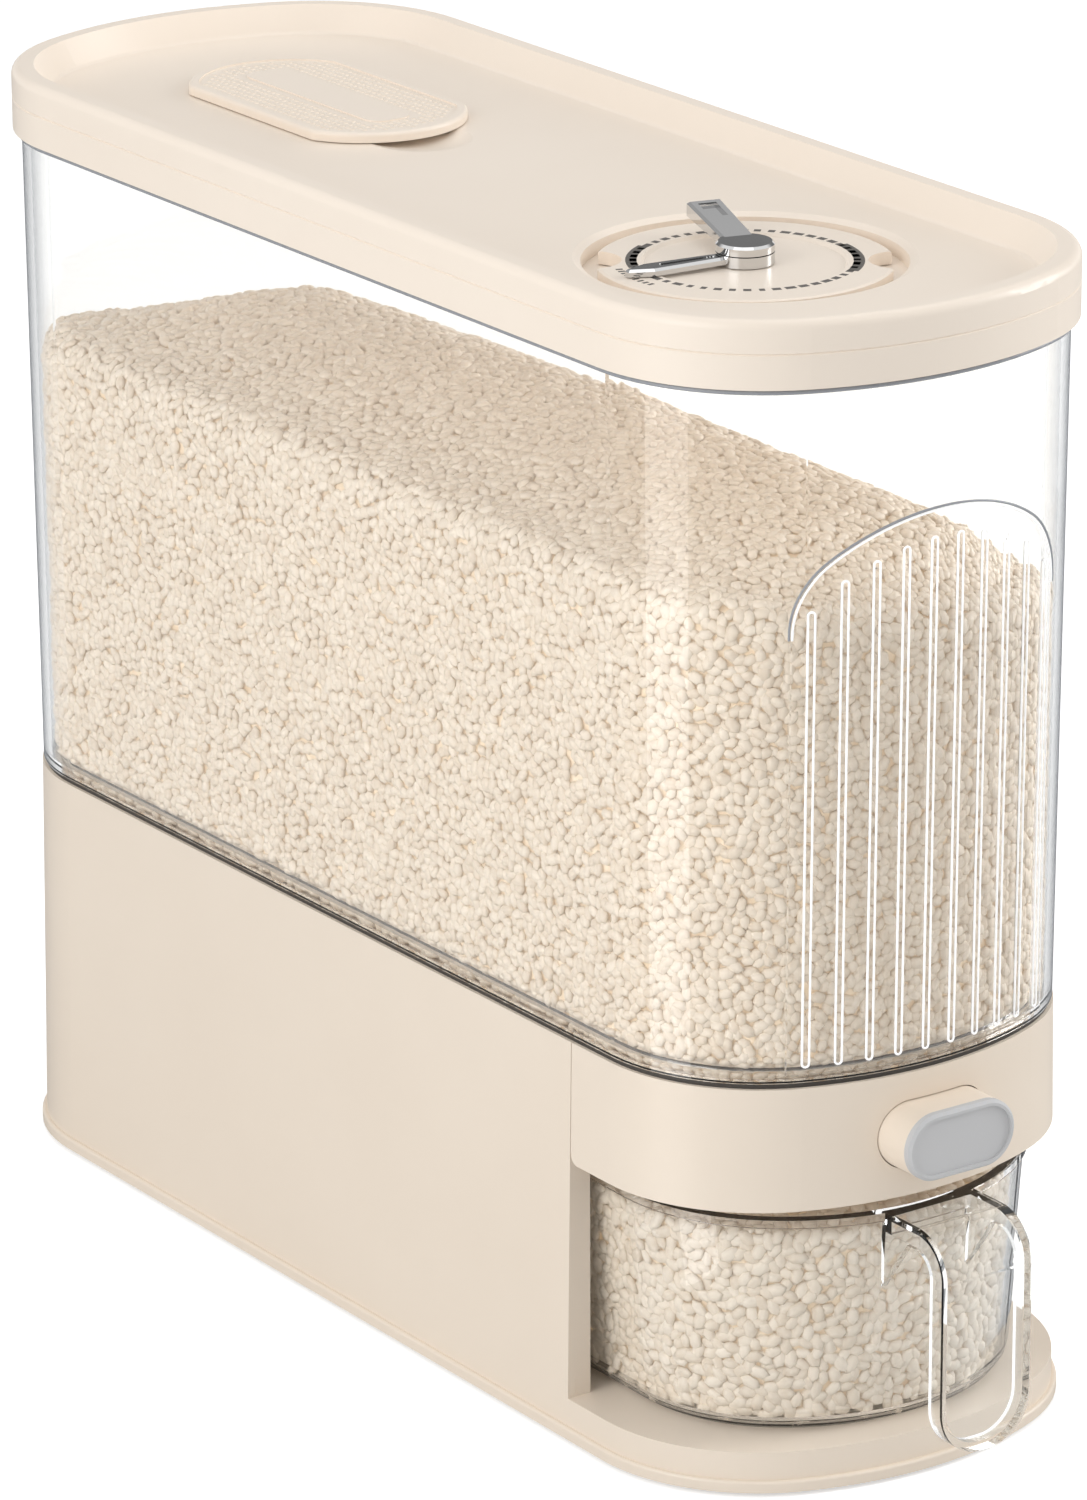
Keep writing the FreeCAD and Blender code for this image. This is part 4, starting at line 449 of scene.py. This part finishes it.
def heap(steps, brim, crest, ring_of, shoulder, inset):
    """A closed body of rice: rings up the wall, round its shoulder, then inwards over its heap.

    steps are the level and extra inset of each ring up the wall, brim gives the level where the
    shoulder's round ends, crest the level the rice would reach far from any wall, and inset how
    far the body stays inside the wall and below both.
    """
    shell = bmesh.new()
    rings = [[shell.verts.new((x, y, level)) for x, y in quartered(ring_of(level, inset + extra))]
             for level, extra in steps]
    for turn in map(math.radians, SHOULDER_DEGREES):
        round_in = inset + shoulder * (1 - math.cos(turn))
        round_down = inset + shoulder * (1 - math.sin(turn))
        rings.append([shell.verts.new((x, y, brim(x, y) - round_down))
                      for x, y in quartered(ring_of(brim(0, 0), round_in))])
    rings += heap_top(shell, brim, crest, ring_of(brim(0, 0), inset + shoulder), inset)
    for lower, upper in zip(rings, rings[1:]):
        for at in range(len(lower)):
            after = (at + 1) % len(lower)
            shell.faces.new((lower[at], lower[after], upper[after], upper[at]))
    shell.faces.new(list(reversed(rings[0])))
    shell.faces.new(rings[-1])
    bmesh.ops.recalc_face_normals(shell, faces=shell.faces)
    mesh = bpy.data.meshes.new("rice_heap")
    shell.to_mesh(mesh)
    shell.free()
    return mesh


def row_choice(tree, given):
    """True for what lies between the row's two Y limits."""
    axes = add(tree, "ShaderNodeSeparateXYZ", {"Vector": add(tree, "GeometryNodeInputPosition")})
    along = pick(axes.outputs, "Y")
    past = add(tree, "FunctionNodeCompare", {"A": along, "B": given["From Y"]},
               operation="GREATER_EQUAL")
    short = add(tree, "FunctionNodeCompare", {"A": along, "B": given["To Y"]},
                operation="LESS_THAN")
    return add(tree, "FunctionNodeBooleanMath", {0: past, 1: short})


def grain_lie(tree, given, surface):
    """How a grain lies: flat on the surface, turned any way in it and tipped a little out of it."""
    tip = given["Tip"]
    back = add(tree, "ShaderNodeMath", {0: tip, 1: -1.0}, operation="MULTIPLY")
    least = add(tree, "ShaderNodeCombineXYZ", {"X": back, "Y": back})
    most = add(tree, "ShaderNodeCombineXYZ", {"X": tip, "Y": tip, "Z": math.tau})
    turn = add(tree, "FunctionNodeRandomValue", {"Min": least, "Max": most, "Seed": 11},
               data_type="FLOAT_VECTOR")
    euler = add(tree, "FunctionNodeEulerToRotation", {"Euler": turn})
    return add(tree, "FunctionNodeRotateRotation", {"Rotation": surface, "Rotate By": euler},
               rotation_space="LOCAL")


def rice_tree():
    """Grains that lie along a surface, each turned, tipped, sized and sunk its own way."""
    tree = grown_tree("rice_layer", {
        "Spacing": ("NodeSocketFloat", GRAIN_SPACING),
        "Grain size": ("NodeSocketVector", GRAIN_SIZE),
        "Tip": ("NodeSocketFloat", GRAIN_TIP),
        "From Y": ("NodeSocketFloat", -1.0),
        "To Y": ("NodeSocketFloat", 1.0),
        "Seed": ("NodeSocketInt", 7),
    })
    given = add(tree, "NodeGroupInput").outputs
    spots = add(tree, "GeometryNodeDistributePointsOnFaces",
                {"Mesh": given["Mesh"], "Distance Min": given["Spacing"], "Density Max": 8e5,
                 "Seed": given["Seed"]}, distribute_method="POISSON")
    ball = add(tree, "GeometryNodeMeshUVSphere", {"Segments": 6, "Rings": 4, "Radius": 0.5})
    grain = add(tree, "GeometryNodeTransform", {"Geometry": ball, "Scale": given["Grain size"]})
    smooth = add(tree, "GeometryNodeSetShadeSmooth", {"Geometry": grain})
    size = add(tree, "FunctionNodeRandomValue", {"Min": 0.82, "Max": 1.08, "Seed": 23})
    grains = add(tree, "GeometryNodeInstanceOnPoints",
                 {"Points": spots, "Selection": row_choice(tree, given), "Instance": smooth,
                  "Rotation": grain_lie(tree, given, pick(spots.outputs, "Rotation")), "Scale": size})
    deeper = add(tree, "FunctionNodeRandomValue", {"Min": -0.9 * MM, "Max": 0.2 * MM, "Seed": 41})
    sunk = add(tree, "ShaderNodeCombineXYZ", {"Z": deeper})
    heaped = add(tree, "GeometryNodeTranslateInstances", {"Instances": grains, "Translation": sunk,
                                                          "Local Space": True})
    tone = add(tree, "FunctionNodeRandomValue", {"Min": 0.0, "Max": 1.0, "Seed": 31})
    toned = add(tree, "GeometryNodeStoreNamedAttribute",
                {"Geometry": heaped, "Name": "grain_tone", "Value": tone},
                data_type="FLOAT", domain="INSTANCE")
    end_tree(tree, toned, RICE)
    return tree


def rear_sag(y):
    """How far the rice has slid towards the outlet: 0 at the front, 1 a little before the rear wall."""
    return max(0, (y - SAG_START_Y) / SAG_LENGTH) ** 2


def tank_brim(x, y):
    """The level at the tank's wall: it was poured a little to the left, and sags at the rear right."""
    aside = x / TANK_RICE_HALF_WIDTH
    return TANK_BRIM - TANK_BRIM_TILT * aside - TANK_BRIM_SAG * (1 + aside) * rear_sag(y)


def tank_crest(y):
    """The level of the tank's heap along its middle, lowest at the rear."""
    return TANK_CREST - TANK_CREST_SAG * rear_sag(y)


def cup_brim(x, y):
    """The level at the cup's wall, the same all round."""
    return CUP_BRIM


def cup_crest(y):
    """The rice in the cup is struck nearly level, with a low crown."""
    return CUP_CREST


def rest_rice(piece, body):
    """The rice moves with what holds it."""
    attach(piece, body)


def make_rice_bed(name, mesh, body):
    """The closed body of rice below the outer grains."""
    mesh.materials.append(RICE_DEPTH)
    rest_rice(put(name, mesh), body)


def make_tank_rice(tree):
    """Rice in the tank and its foot's opening: a bed and rows of grains from front to rear."""
    filling = (TANK_STEPS, tank_brim, tank_crest, tank_outline, TANK_SHOULDER)
    skin = heap(*filling, WALL_CLEARANCE)
    front = CENTRE_Y - LID_HALF_LENGTH
    depth = 2 * LID_HALF_LENGTH / TANK_ROWS
    for index in range(TANK_ROWS):
        piece = grow(f"tank_rice_{index + 1}", tree, skin,
                     {"From Y": front + depth * index, "To Y": front + depth * (index + 1)})
        rest_rice(piece, "dispenser")
    make_rice_bed("tank_rice_bed", heap(*filling, WALL_CLEARANCE + BED_DEPTH), "dispenser")


def make_cup_rice(tree):
    """Rice in the measuring cup, which is drawn out with it."""
    filling = (CUP_STEPS, cup_brim, cup_crest, cup_outline, CUP_SHOULDER)
    piece = grow("cup_rice", tree, heap(*filling, WALL_CLEARANCE),
                 {"Seed": 5, "Grain size": CUP_GRAIN_SIZE, "Spacing": CUP_GRAIN_SPACING})
    rest_rice(piece, "cup")
    make_rice_bed("cup_rice_bed", heap(*filling, WALL_CLEARANCE + BED_DEPTH), "cup")


GRAINS = rice_tree()
make_tank_rice(GRAINS)
make_cup_rice(GRAINS)


# ---- return springs ----------------------------------------------------------------------------


def make_spring_coils():
    """The two springs behind the button, fixed at their rear ends: a merged copy of their mesh in place
    of the imported one.
    """
    coils = bmesh.new()
    coils.from_mesh(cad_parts["return_springs"].data)
    bmesh.ops.remove_doubles(coils, verts=coils.verts, dist=0.001 * MM)
    mesh = bpy.data.meshes.new("return_spring_coils")
    coils.to_mesh(mesh)
    coils.free()
    mesh.materials.append(STEEL)
    piece = put("return_spring_coils", mesh)
    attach(piece, "dispenser")
    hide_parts("return_springs")
    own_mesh(piece)


make_spring_coils()


# ---- ribbed panel ------------------------------------------------------------------------------

RIB_COUNT = 10
RIB_PITCH = 8.6 * MM
RIB_HALF_WIDTH = 0.9 * MM
RIB_FOOT = 123.5 * MM
RIB_TOP_GAP = 7 * MM
ARCH_HALF_WIDTH = 43 * MM
ARCH_FOOT = 243 * MM
ARCH_SPRING = 244 * MM
ARCH_RISE = 30 * MM
ARCH_CORNER = 24 * MM
# How far the ribs and the arched panel stand out from the tank's outer wall.
RIB_STAND = 1.3 * MM
PANEL_STAND = 0.7 * MM
# What lies further than this in front of the outline's middle is the tank's front end.
FRONT_END = 120 * MM
# The arch's painted highlight has a painted shade line just outside it.
ARCH_SHADE_GAP = 0.75 * MM
# The painted shade line just under the lid's skirt, measured outwards from the tank's inner wall.
RIM_SHADE_LEVEL = 310.5 * MM
RIM_SHADE_OUT = 3.25 * MM


def arch_level(x):
    """The level of the panel's arched edge at a distance from its middle."""
    across = ARCH_HALF_WIDTH - ARCH_CORNER
    bow = ARCH_RISE - ARCH_CORNER
    swing = (across * across + bow * bow) / (2 * bow)
    sweep = swing + ARCH_CORNER
    if abs(x) <= across * sweep / swing:
        return ARCH_SPRING + ARCH_RISE - sweep + math.sqrt(sweep * sweep - x * x)
    side = min(abs(x) - across, ARCH_CORNER)
    return ARCH_SPRING + math.sqrt(ARCH_CORNER * ARCH_CORNER - side * side)


def tank_front(x, level, out):
    """A point on the front of the tank's outer wall, lifted outwards from it."""
    ring = tank_outline(level, -TANK_WALL - out)
    front = sorted(point for point in ring if point[1] < CENTRE_Y - FRONT_END)
    for near, far in zip(front, front[1:]):
        if near[0] <= x <= far[0]:
            share = (x - near[0]) / max(far[0] - near[0], 1e-9)
            return (x, near[1] + (far[1] - near[1]) * share, level)
    return (x, front[0][1], level)


def rib_loop(x):
    """Points round the upper edge of one rib: up one side, round its end, down the other."""
    half = RIB_HALF_WIDTH
    top = arch_level(x) - RIB_TOP_GAP - half
    bottom = RIB_FOOT + half
    steps = 30
    turns = [math.radians(degrees) for degrees in range(30, 180, 30)]
    flat = [(x + half, bottom + (top - bottom) * step / steps) for step in range(steps + 1)]
    flat += [(x + half * math.cos(turn), top + half * math.sin(turn)) for turn in turns]
    flat += [(x - half, top + (bottom - top) * step / steps) for step in range(steps + 1)]
    flat += [(x - half * math.cos(turn), bottom - half * math.sin(turn)) for turn in turns]
    return [tank_front(at, level, RIB_STAND) for at, level in flat]


def arch_line(grow_by):
    """Points along the panel's arched edge, or a little outside it, from one foot to the other."""
    wide = ARCH_HALF_WIDTH + grow_by
    foot_steps = 16
    arch_steps = 60
    turned = [-math.cos(math.pi * step / arch_steps) for step in range(arch_steps + 1)]
    flat = [(-wide, ARCH_FOOT + (ARCH_SPRING - ARCH_FOOT) * step / foot_steps)
            for step in range(foot_steps)]
    flat += [(share * wide, arch_level(share * ARCH_HALF_WIDTH) + grow_by) for share in turned]
    flat += [(wide, ARCH_SPRING + (ARCH_FOOT - ARCH_SPRING) * step / foot_steps)
             for step in range(1, foot_steps + 1)]
    return [tank_front(x, level, PANEL_STAND) for x, level in flat]


def edge_tree():
    """A fine round bead along every line of the base mesh, which paints a highlight or a shade line
    there.
    """
    tree = grown_tree("painted_light_beads", {"Bead radius": ("NodeSocketFloat", 0.4 * MM),
                                        "Finish": ("NodeSocketMaterial", PAINTED_HIGHLIGHT)})
    given = add(tree, "NodeGroupInput").outputs
    line = add(tree, "GeometryNodeMeshToCurve", {"Mesh": given["Mesh"]})
    ring = add(tree, "GeometryNodeCurvePrimitiveCircle", {"Resolution": 6,
                                                          "Radius": given["Bead radius"]})
    bead = add(tree, "GeometryNodeCurveToMesh", {"Curve": line, "Profile Curve": ring,
                                                 "Fill Caps": True})
    end_tree(tree, bead, given["Finish"])
    return tree


def line_mesh(name, lines):
    """A mesh of open or closed lines, given as (points, closed)."""
    mesh = bpy.data.meshes.new(name)
    points = []
    edges = []
    for line, closed in lines:
        first = len(points)
        points += line
        edges += [(at, at + 1) for at in range(first, len(points) - 1)]
        if closed:
            edges.append((len(points) - 1, first))
    mesh.from_pydata(points, edges, [])
    return mesh


def make_painted_tank_lines():
    """Painted highlights round the ribs and along the arch, and painted shade lines just outside the
    arch and under the lid's rim.
    """
    tree = edge_tree()
    loops = [(rib_loop(RIB_PITCH * (index - (RIB_COUNT - 1) / 2)), True) for index in range(RIB_COUNT)]
    rim = [(x, y, RIM_SHADE_LEVEL) for x, y in tank_outline(RIM_SHADE_LEVEL, -RIM_SHADE_OUT)]
    # The lines, the bead's radius in mm, and its material: a painted highlight or a painted shade.
    edges = {
        "panel_rib_highlights": (loops, 0.34, PAINTED_HIGHLIGHT),
        "panel_arch_highlight": ([(arch_line(0), False)], 0.36, PAINTED_HIGHLIGHT),
        "panel_arch_painted_shade": ([(arch_line(ARCH_SHADE_GAP), False)], 0.36, PAINTED_SHADE),
        "tank_rim_shade_line": ([(rim, True)], 0.65, PAINTED_SHADE),
    }
    for name, (lines, radius, finish) in edges.items():
        piece = grow(name, tree, line_mesh(name, lines), {"Bead radius": radius * MM, "Finish": finish})
        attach(piece, "dispenser")


make_painted_tank_lines()


# ---- dial marks and cover texture --------------------------------------------------------------

DIAL_Y = -94 * MM
PRINT_THICKNESS = 0.08 * MM
# The cover's face, on which the studs stand, is sunk this far below its border.
COVER_DISH = 0.5 * MM


def marks_tree():
    """Thin printed bars along an arc of a circle round the dial's middle, angles in degrees."""
    tree = grown_tree("dial_marks", {
        "Radius": ("NodeSocketFloat", 30 * MM),
        "Start": ("NodeSocketFloat", 0.0),
        "Step": ("NodeSocketFloat", 10.0),
        "Count": ("NodeSocketInt", 36),
        "Mark size": ("NodeSocketVector", Vector((1, 1, 0.1)) * MM),
        "Level": ("NodeSocketFloat", 300 * MM),
        "Unevenness": ("NodeSocketFloat", 0.0),
    })
    given = add(tree, "NodeGroupInput").outputs
    index = add(tree, "GeometryNodeInputIndex")
    degrees = add(tree, "ShaderNodeMath", {0: index, 1: given["Step"], 2: given["Start"]},
                  operation="MULTIPLY_ADD")
    turn = add(tree, "ShaderNodeMath", {0: degrees}, operation="RADIANS")
    across = add(tree, "ShaderNodeMath", {0: turn}, operation="COSINE")
    along = add(tree, "ShaderNodeMath", {0: turn}, operation="SINE")
    x = add(tree, "ShaderNodeMath", {0: across, 1: given["Radius"]}, operation="MULTIPLY")
    y = add(tree, "ShaderNodeMath", {0: along, 1: given["Radius"], 2: DIAL_Y},
            operation="MULTIPLY_ADD")
    spot = add(tree, "ShaderNodeCombineXYZ", {"X": x, "Y": y, "Z": given["Level"]})
    points = add(tree, "GeometryNodePoints", {"Count": given["Count"], "Position": spot})
    bar = add(tree, "GeometryNodeMeshCube", {"Size": given["Mark size"]})
    spin = add(tree, "ShaderNodeCombineXYZ", {"Z": turn})
    less = add(tree, "ShaderNodeMath", {0: 1.0, 1: given["Unevenness"]}, operation="SUBTRACT")
    stretch = add(tree, "FunctionNodeRandomValue", {"Min": less, "Max": 1.0, "Seed": 3})
    scale = add(tree, "ShaderNodeCombineXYZ", {"X": 1.0, "Y": stretch, "Z": 1.0})
    bars = add(tree, "GeometryNodeInstanceOnPoints",
               {"Points": points, "Instance": bar, "Rotation": spin, "Scale": scale})
    end_tree(tree, bars, PRINT_INK)
    return tree


def make_dial_marks():
    """The dial's scale, pad-printed on its raised border: day dashes, two month bars and ticks."""
    tree = marks_tree()
    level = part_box("timer_disc")[1].z
    # The radius in mm, first angle, step, count, size in mm outwards and along, and unevenness.
    rings = {
        "dial_day_dashes": (30.0, 2, 7.5, 48, (2.0, 3.0), 0.5),
        "dial_month_bar_right": (30.6, -56, 1.9, 27, (3.0, 1.1), 0.0),
        "dial_month_bar_left": (30.6, 118, 1.9, 22, (3.0, 1.1), 0.0),
        "dial_outer_ticks": (35.0, 160, 3.5, 9, (1.9, 1.0), 0.0),
    }
    for name, (radius, start, step, count, (out, along), unevenness) in rings.items():
        piece = grow(name, tree, bpy.data.meshes.new(name),
                     {"Radius": radius * MM, "Start": start, "Step": step, "Count": count,
                      "Level": level, "Mark size": (out * MM, along * MM, PRINT_THICKNESS),
                      "Unevenness": unevenness})
        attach(piece, "dial")


make_dial_marks()


def stud_spots(tree, given):
    """A point for each stud: a grid within the cover's outline, with its smooth bar left out."""
    width = add(tree, "ShaderNodeMath", {0: given["Half width"], 1: 2.0}, operation="MULTIPLY")
    length = add(tree, "ShaderNodeMath", {0: given["Half length"], 1: 2.0}, operation="MULTIPLY")
    grid = add(tree, "GeometryNodeMeshGrid", {"Size X": width, "Size Y": length,
                                              "Vertices X": given["Rows"],
                                              "Vertices Y": given["Studs in a row"]})
    axes = add(tree, "ShaderNodeSeparateXYZ", {"Vector": add(tree, "GeometryNodeInputPosition")})
    aside = add(tree, "ShaderNodeMath", {0: pick(axes.outputs, "X")}, operation="ABSOLUTE")
    along = add(tree, "ShaderNodeMath", {0: pick(axes.outputs, "Y")}, operation="ABSOLUTE")
    share = add(tree, "ShaderNodeMath", {0: aside, 1: given["Half width"]}, operation="DIVIDE")
    square = add(tree, "ShaderNodeMath", {0: share, 1: share}, operation="MULTIPLY")
    reach = add(tree, "ShaderNodeMath", {0: square, 1: given["Bow"], 2: along},
                operation="MULTIPLY_ADD")
    inside = add(tree, "FunctionNodeCompare", {"A": reach, "B": given["Half length"]},
                 operation="LESS_EQUAL")
    wide = add(tree, "FunctionNodeCompare", {"A": aside, "B": given["Bar half width"]},
               operation="GREATER_THAN")
    long = add(tree, "FunctionNodeCompare", {"A": along, "B": given["Bar half length"]},
               operation="GREATER_THAN")
    clear = add(tree, "FunctionNodeBooleanMath", {0: wide, 1: long}, operation="OR")
    here = add(tree, "FunctionNodeBooleanMath", {0: inside, 1: clear})
    return add(tree, "GeometryNodeMeshToPoints", {"Mesh": grid, "Selection": here})


def studs_tree():
    """Low round studs in rows over the cover's sunk face, in a darker cream than the cover: painted
    shade.
    """
    tree = grown_tree("grip_studs", {
        "Middle": ("NodeSocketVector", (0.0, 0.0, 0.0)),
        "Half width": ("NodeSocketFloat", 20 * MM),
        "Half length": ("NodeSocketFloat", 40 * MM),
        "Bow": ("NodeSocketFloat", 10 * MM),
        "Bar half width": ("NodeSocketFloat", 8 * MM),
        "Bar half length": ("NodeSocketFloat", 36 * MM),
        "Rows": ("NodeSocketInt", 19),
        "Studs in a row": ("NodeSocketInt", 50),
        "Stud size": ("NodeSocketVector", Vector((0.6, 0.6, 0.3)) * MM),
    })
    given = add(tree, "NodeGroupInput").outputs
    stud = add(tree, "GeometryNodeMeshCone", {"Vertices": 8, "Radius Top": 0.55,
                                              "Radius Bottom": 1.0, "Depth": 1.0})
    shaped = add(tree, "GeometryNodeTransform", {"Geometry": stud, "Scale": given["Stud size"]})
    studs = add(tree, "GeometryNodeInstanceOnPoints", {"Points": stud_spots(tree, given),
                                                       "Instance": shaped})
    placed = add(tree, "GeometryNodeTransform", {"Geometry": studs, "Translation": given["Middle"]})
    # The housings' darker cream, not the cover's own, paints shade on the studs so that they read as
    # darker dots.
    end_tree(tree, placed, CREAM_PP)
    return tree


def make_grip_studs():
    """The cover's grip texture: studs 2.6 mm apart across and 2.4 mm along, 0.3 mm high."""
    low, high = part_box("desiccant_cover")
    piece = grow("cover_grip_studs", studs_tree(), bpy.data.meshes.new("cover_grip_studs"), {
        "Middle": Vector((0, (low.y + high.y) / 2, high.z - COVER_DISH)),
        "Half width": 21.0 * MM, "Half length": 44.0 * MM, "Bow": 10.5 * MM,
        "Bar half width": 8.0 * MM, "Bar half length": 35.8 * MM, "Rows": 17, "Studs in a row": 37,
        "Stud size": Vector((0.85, 0.85, 0.3)) * MM})
    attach(piece, "compartment_cover")


make_grip_studs()


# ---- studio ------------------------------------------------------------------------------------

# The world's strength on the object, and the glow that keeps the lit floor white to the eye.
AMBIENT = 0.63
FLOOR_GLOW = 0.5
FLOOR_HALF_WIDTH = 8.0
# The low soft light is a wedge on the floor. It spreads to the left from the dispenser's front left
# corner, between two angles from -X in degrees and two distances.
STRIP_GLOW = 2.7
STRIP_CORNER = Vector((-0.055, -0.165, 0.001))
STRIP_DEGREES = (-22, 8)
STRIP_REACH = (0.1, 1.1)
# Each lamp's place, aim, width, height and watts.
LAMPS = {
    "left_softbox": ((-1.5, -0.3, 0.8), (0, 0, 0.18), 1.0, 1.2, 11),
    "right_softbox": ((1.6, -0.62, 0.8), (0, -0.1, 0.15), 0.6, 1.0, 14.5),
    "top_softbox": ((0.1, 0.1, 1.6), (0, 0, 0.2), 1.2, 1.2, 2.6),
}


def seen_rays(tree):
    """1 for rays that see the backdrop straight, in a mirror or through clear plastic, otherwise 0."""
    rays = add(tree, "ShaderNodeLightPath").outputs
    some = add(tree, "ShaderNodeMath", {0: rays["Is Camera Ray"], 1: rays["Is Glossy Ray"]},
               operation="MAXIMUM")
    return add(tree, "ShaderNodeMath", {0: some, 1: rays["Is Transmission Ray"]},
               operation="MAXIMUM")


def mirror_rays(tree):
    """1 for rays that come off a polished surface, and 0 for those that pass through a clear one."""
    rays = add(tree, "ShaderNodeLightPath").outputs
    return add(tree, "ShaderNodeMath", {0: rays["Is Glossy Ray"], 1: rays["Is Transmission Ray"]},
               operation="SUBTRACT", use_clamp=True)


def make_world():
    """White all round to the eye, and a softer even light on the object.

    Mirrors see the studio's darker upper walls between its white floor and its bright ceiling.
    """
    world = bpy.data.worlds.new("studio")
    world.use_nodes = True
    tree = world.node_tree
    tree.nodes.clear()
    heading = pick(add(tree, "ShaderNodeTexCoord").outputs, "Generated")
    height = pick(add(tree, "ShaderNodeSeparateXYZ", {"Vector": heading}).outputs, "Z")
    walls = add(tree, "ShaderNodeValToRGB", {"Fac": height})
    stops = walls.color_ramp.elements
    stops[0].position = 0.12
    stops[0].color = linear("#FFFFFF")
    stops[1].position = 0.22
    stops[1].color = linear("#7A7A7A")
    for position, colour in ((0.42, "#8A8A8A"), (0.62, "#FFFFFF")):
        stops.new(position).color = linear(colour)
    seen = add(tree, "ShaderNodeMix", {"Factor": mirror_rays(tree), "A": linear("#FFFFFF"),
                                       "B": walls}, data_type="RGBA")
    strength = add(tree, "ShaderNodeMapRange", {"Value": seen_rays(tree), "To Min": AMBIENT,
                                                "To Max": 1.0})
    light = add(tree, "ShaderNodeBackground", {"Color": seen, "Strength": strength})
    add(tree, "ShaderNodeOutputWorld", {"Surface": light})
    bpy.context.scene.world = world


def make_sheet(name, corners, material):
    """A flat four-cornered piece of the studio."""
    mesh = bpy.data.meshes.new(name)
    mesh.from_pydata(corners, [], [(0, 1, 2, 3)])
    mesh.materials.append(material)
    return put(name, mesh)


def make_floor():
    """A white sweep that stays white to the eye and still takes the object's shadow.

    Mirrors see it greyer, which draws the edges of the clear and plated parts.
    """
    material, tree = new_material("white_paper_sweep")
    mirrored = mirror_rays(tree)
    tone = add(tree, "ShaderNodeMix", {"Factor": mirrored, "A": linear("#E8E8E8"),
                                       "B": linear("#96999D")}, data_type="RGBA")
    paper = add(tree, "ShaderNodeBsdfDiffuse", {"Color": tone})
    plain = add(tree, "ShaderNodeMath", {0: seen_rays(tree), 1: mirrored}, operation="SUBTRACT")
    strength = add(tree, "ShaderNodeMath", {0: plain, 1: FLOOR_GLOW}, operation="MULTIPLY")
    glow = add(tree, "ShaderNodeEmission", {"Color": linear("#FFFFFF"), "Strength": strength})
    show(tree, add(tree, "ShaderNodeAddShader", {0: paper, 1: glow}))
    half = FLOOR_HALF_WIDTH
    floor = make_sheet("paper_sweep", [(-half, -half, 0), (half, -half, 0), (half, half, 0),
                                       (-half, half, 0)], material)


def make_strip():
    """A soft light laid low at the left, which only polished surfaces see."""
    material, tree = new_material("strip_light")
    hidden = add(tree, "ShaderNodeBsdfTransparent")
    glow = add(tree, "ShaderNodeEmission", {"Color": linear("#FFFFFF"), "Strength": STRIP_GLOW})
    show(tree, add(tree, "ShaderNodeMixShader", {0: mirror_rays(tree), 1: hidden, 2: glow}))
    first, last = (math.radians(degrees) for degrees in STRIP_DEGREES)
    near, far = STRIP_REACH
    corners = [STRIP_CORNER - Vector((math.cos(turn), math.sin(turn), 0)) * reach
               for turn, reach in ((first, near), (last, near), (last, far), (first, far))]
    strip = make_sheet("strip_light", corners, material)


def make_lamp(name, place, aim, width, height, watts):
    """A soft box that faces a point."""
    data = bpy.data.lights.new(name, "AREA")
    data.shape = "RECTANGLE"
    data.size = width
    data.size_y = height
    data.energy = watts
    lamp = put(name, data)
    lamp.location = place
    lamp.rotation_euler = (Vector(aim) - Vector(place)).to_track_quat("-Z", "Y").to_euler()


def make_camera():
    """A long lens, from the front left and a little above."""
    data = bpy.data.cameras.new("camera")
    data.lens = 180.717
    data.sensor_width = 36.0
    data.shift_x = 0.01248
    data.shift_y = -0.0274
    data.clip_end = 100.0
    camera = put("camera", data)
    place = Vector((-1.16303, -1.65524, 0.85933))
    across = Vector((0.81894794, -0.57385006, -0.00451522))
    up = Vector((0.18912111, 0.26245167, 0.94623059))
    turn = Matrix((across, up, across.cross(up))).transposed().to_4x4()
    camera.matrix_world = Matrix.Translation(place) @ turn
    bpy.context.scene.camera = camera


make_world()
make_floor()
make_strip()
for name, settings in LAMPS.items():
    make_lamp(name, *settings)
make_camera()

bpy.context.scene.view_settings.view_transform = "Standard"
